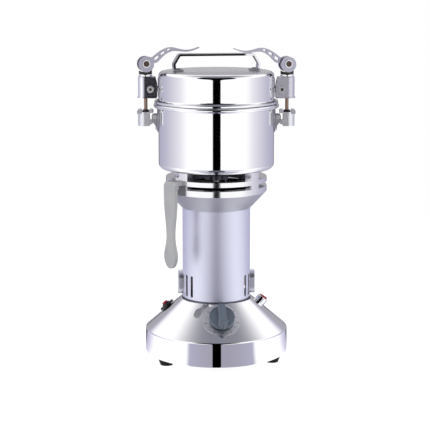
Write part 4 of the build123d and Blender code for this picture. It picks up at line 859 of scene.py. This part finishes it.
def floor_material():
    """White for the camera, with the object's shadow; for reflections a studio floor that darkens behind."""
    mat = bpy.data.materials.new("floor")
    mat.use_nodes = True
    tree = mat.node_tree
    tree.nodes.clear()
    diffuse = tree.nodes.new("ShaderNodeBsdfDiffuse")
    diffuse.inputs["Color"].default_value = (*FLOOR_COLOUR, 1.0)
    white = glow(tree, "ShaderNodeEmission", WHITE, FLOOR_GLOW)
    seen = mixed(tree, FLOOR_GLOW_SHARE, diffuse.outputs[0], white)
    mirrored = glow(tree, "ShaderNodeEmission", studio_colour(tree, True), STUDIO_GAIN)
    out = tree.nodes.new("ShaderNodeOutputMaterial")
    tree.links.new(by_ray(tree, diffuse.outputs[0], seen, mirrored), out.inputs["Surface"])
    return mat


def floor_disc():
    """Round floor under the feet."""
    bm = bmesh.new()
    bmesh.ops.create_circle(bm, cap_ends=True, radius=FLOOR_R, segments=96)
    data = bpy.data.meshes.new("floor")
    bm.to_mesh(data)
    bm.free()
    obj = bpy.data.objects.new("floor", data)
    bpy.context.scene.collection.objects.link(obj)
    data.materials.append(floor_material())


def studio_world():
    """White behind the object for the camera, soft light for matt pieces, the studio for reflections."""
    world = bpy.data.worlds.new("studio")
    bpy.context.scene.world = world
    world.use_nodes = True
    tree = world.node_tree
    tree.nodes.clear()
    plain = glow(tree, "ShaderNodeBackground", ROOM_COLOUR, ROOM_STRENGTH)
    backdrop = glow(tree, "ShaderNodeBackground", WHITE, 1.0)
    studio = glow(tree, "ShaderNodeBackground", studio_colour(tree, False), STUDIO_GAIN)
    out = tree.nodes.new("ShaderNodeOutputWorld")
    tree.links.new(by_ray(tree, plain, backdrop, studio), out.inputs["Surface"])


def soft_box(name, place, size, power):
    """Area lamp for the matt pieces; mirrors see the studio's own soft boxes instead."""
    lamp = bpy.data.lights.new(name, "AREA")
    lamp.shape = "RECTANGLE"
    lamp.size, lamp.size_y = size
    lamp.energy = power
    obj = bpy.data.objects.new(name, lamp)
    bpy.context.scene.collection.objects.link(obj)
    obj.location = place
    obj.rotation_mode = "QUATERNION"
    obj.rotation_quaternion = (MIDDLE - Vector(place)).to_track_quat("-Z", "Y")
    obj.visible_glossy = False
    obj.visible_camera = False


MIDDLE = Vector((0.0, 0.0, 0.18))
floor_disc()
studio_world()
soft_box("left_box", (-1.1, -0.9, 0.9), (0.8, 1.2), 9.0)
soft_box("right_box", (1.2, -0.8, 0.8), (0.8, 1.2), 7.0)
soft_box("top_box", (0.0, 0.1, 1.5), (1.0, 1.0), 9.0)


# ---------------------------------------------------------------- camera
LENS = 122.2
SENSOR = 36.0
SHIFT_X = -0.003
EYE = (0.0, -1.780, 0.500)
PITCH_DOWN = 10.23

camera = bpy.data.cameras.new("camera")
camera.lens = LENS
camera.sensor_width = SENSOR
camera.shift_x = SHIFT_X
eye = bpy.data.objects.new("camera", camera)
bpy.context.scene.collection.objects.link(eye)
eye.location = EYE
eye.rotation_euler = (math.radians(90.0 - PITCH_DOWN), 0.0, 0.0)
bpy.context.scene.camera = eye
bpy.context.scene.view_settings.view_transform = "Standard"
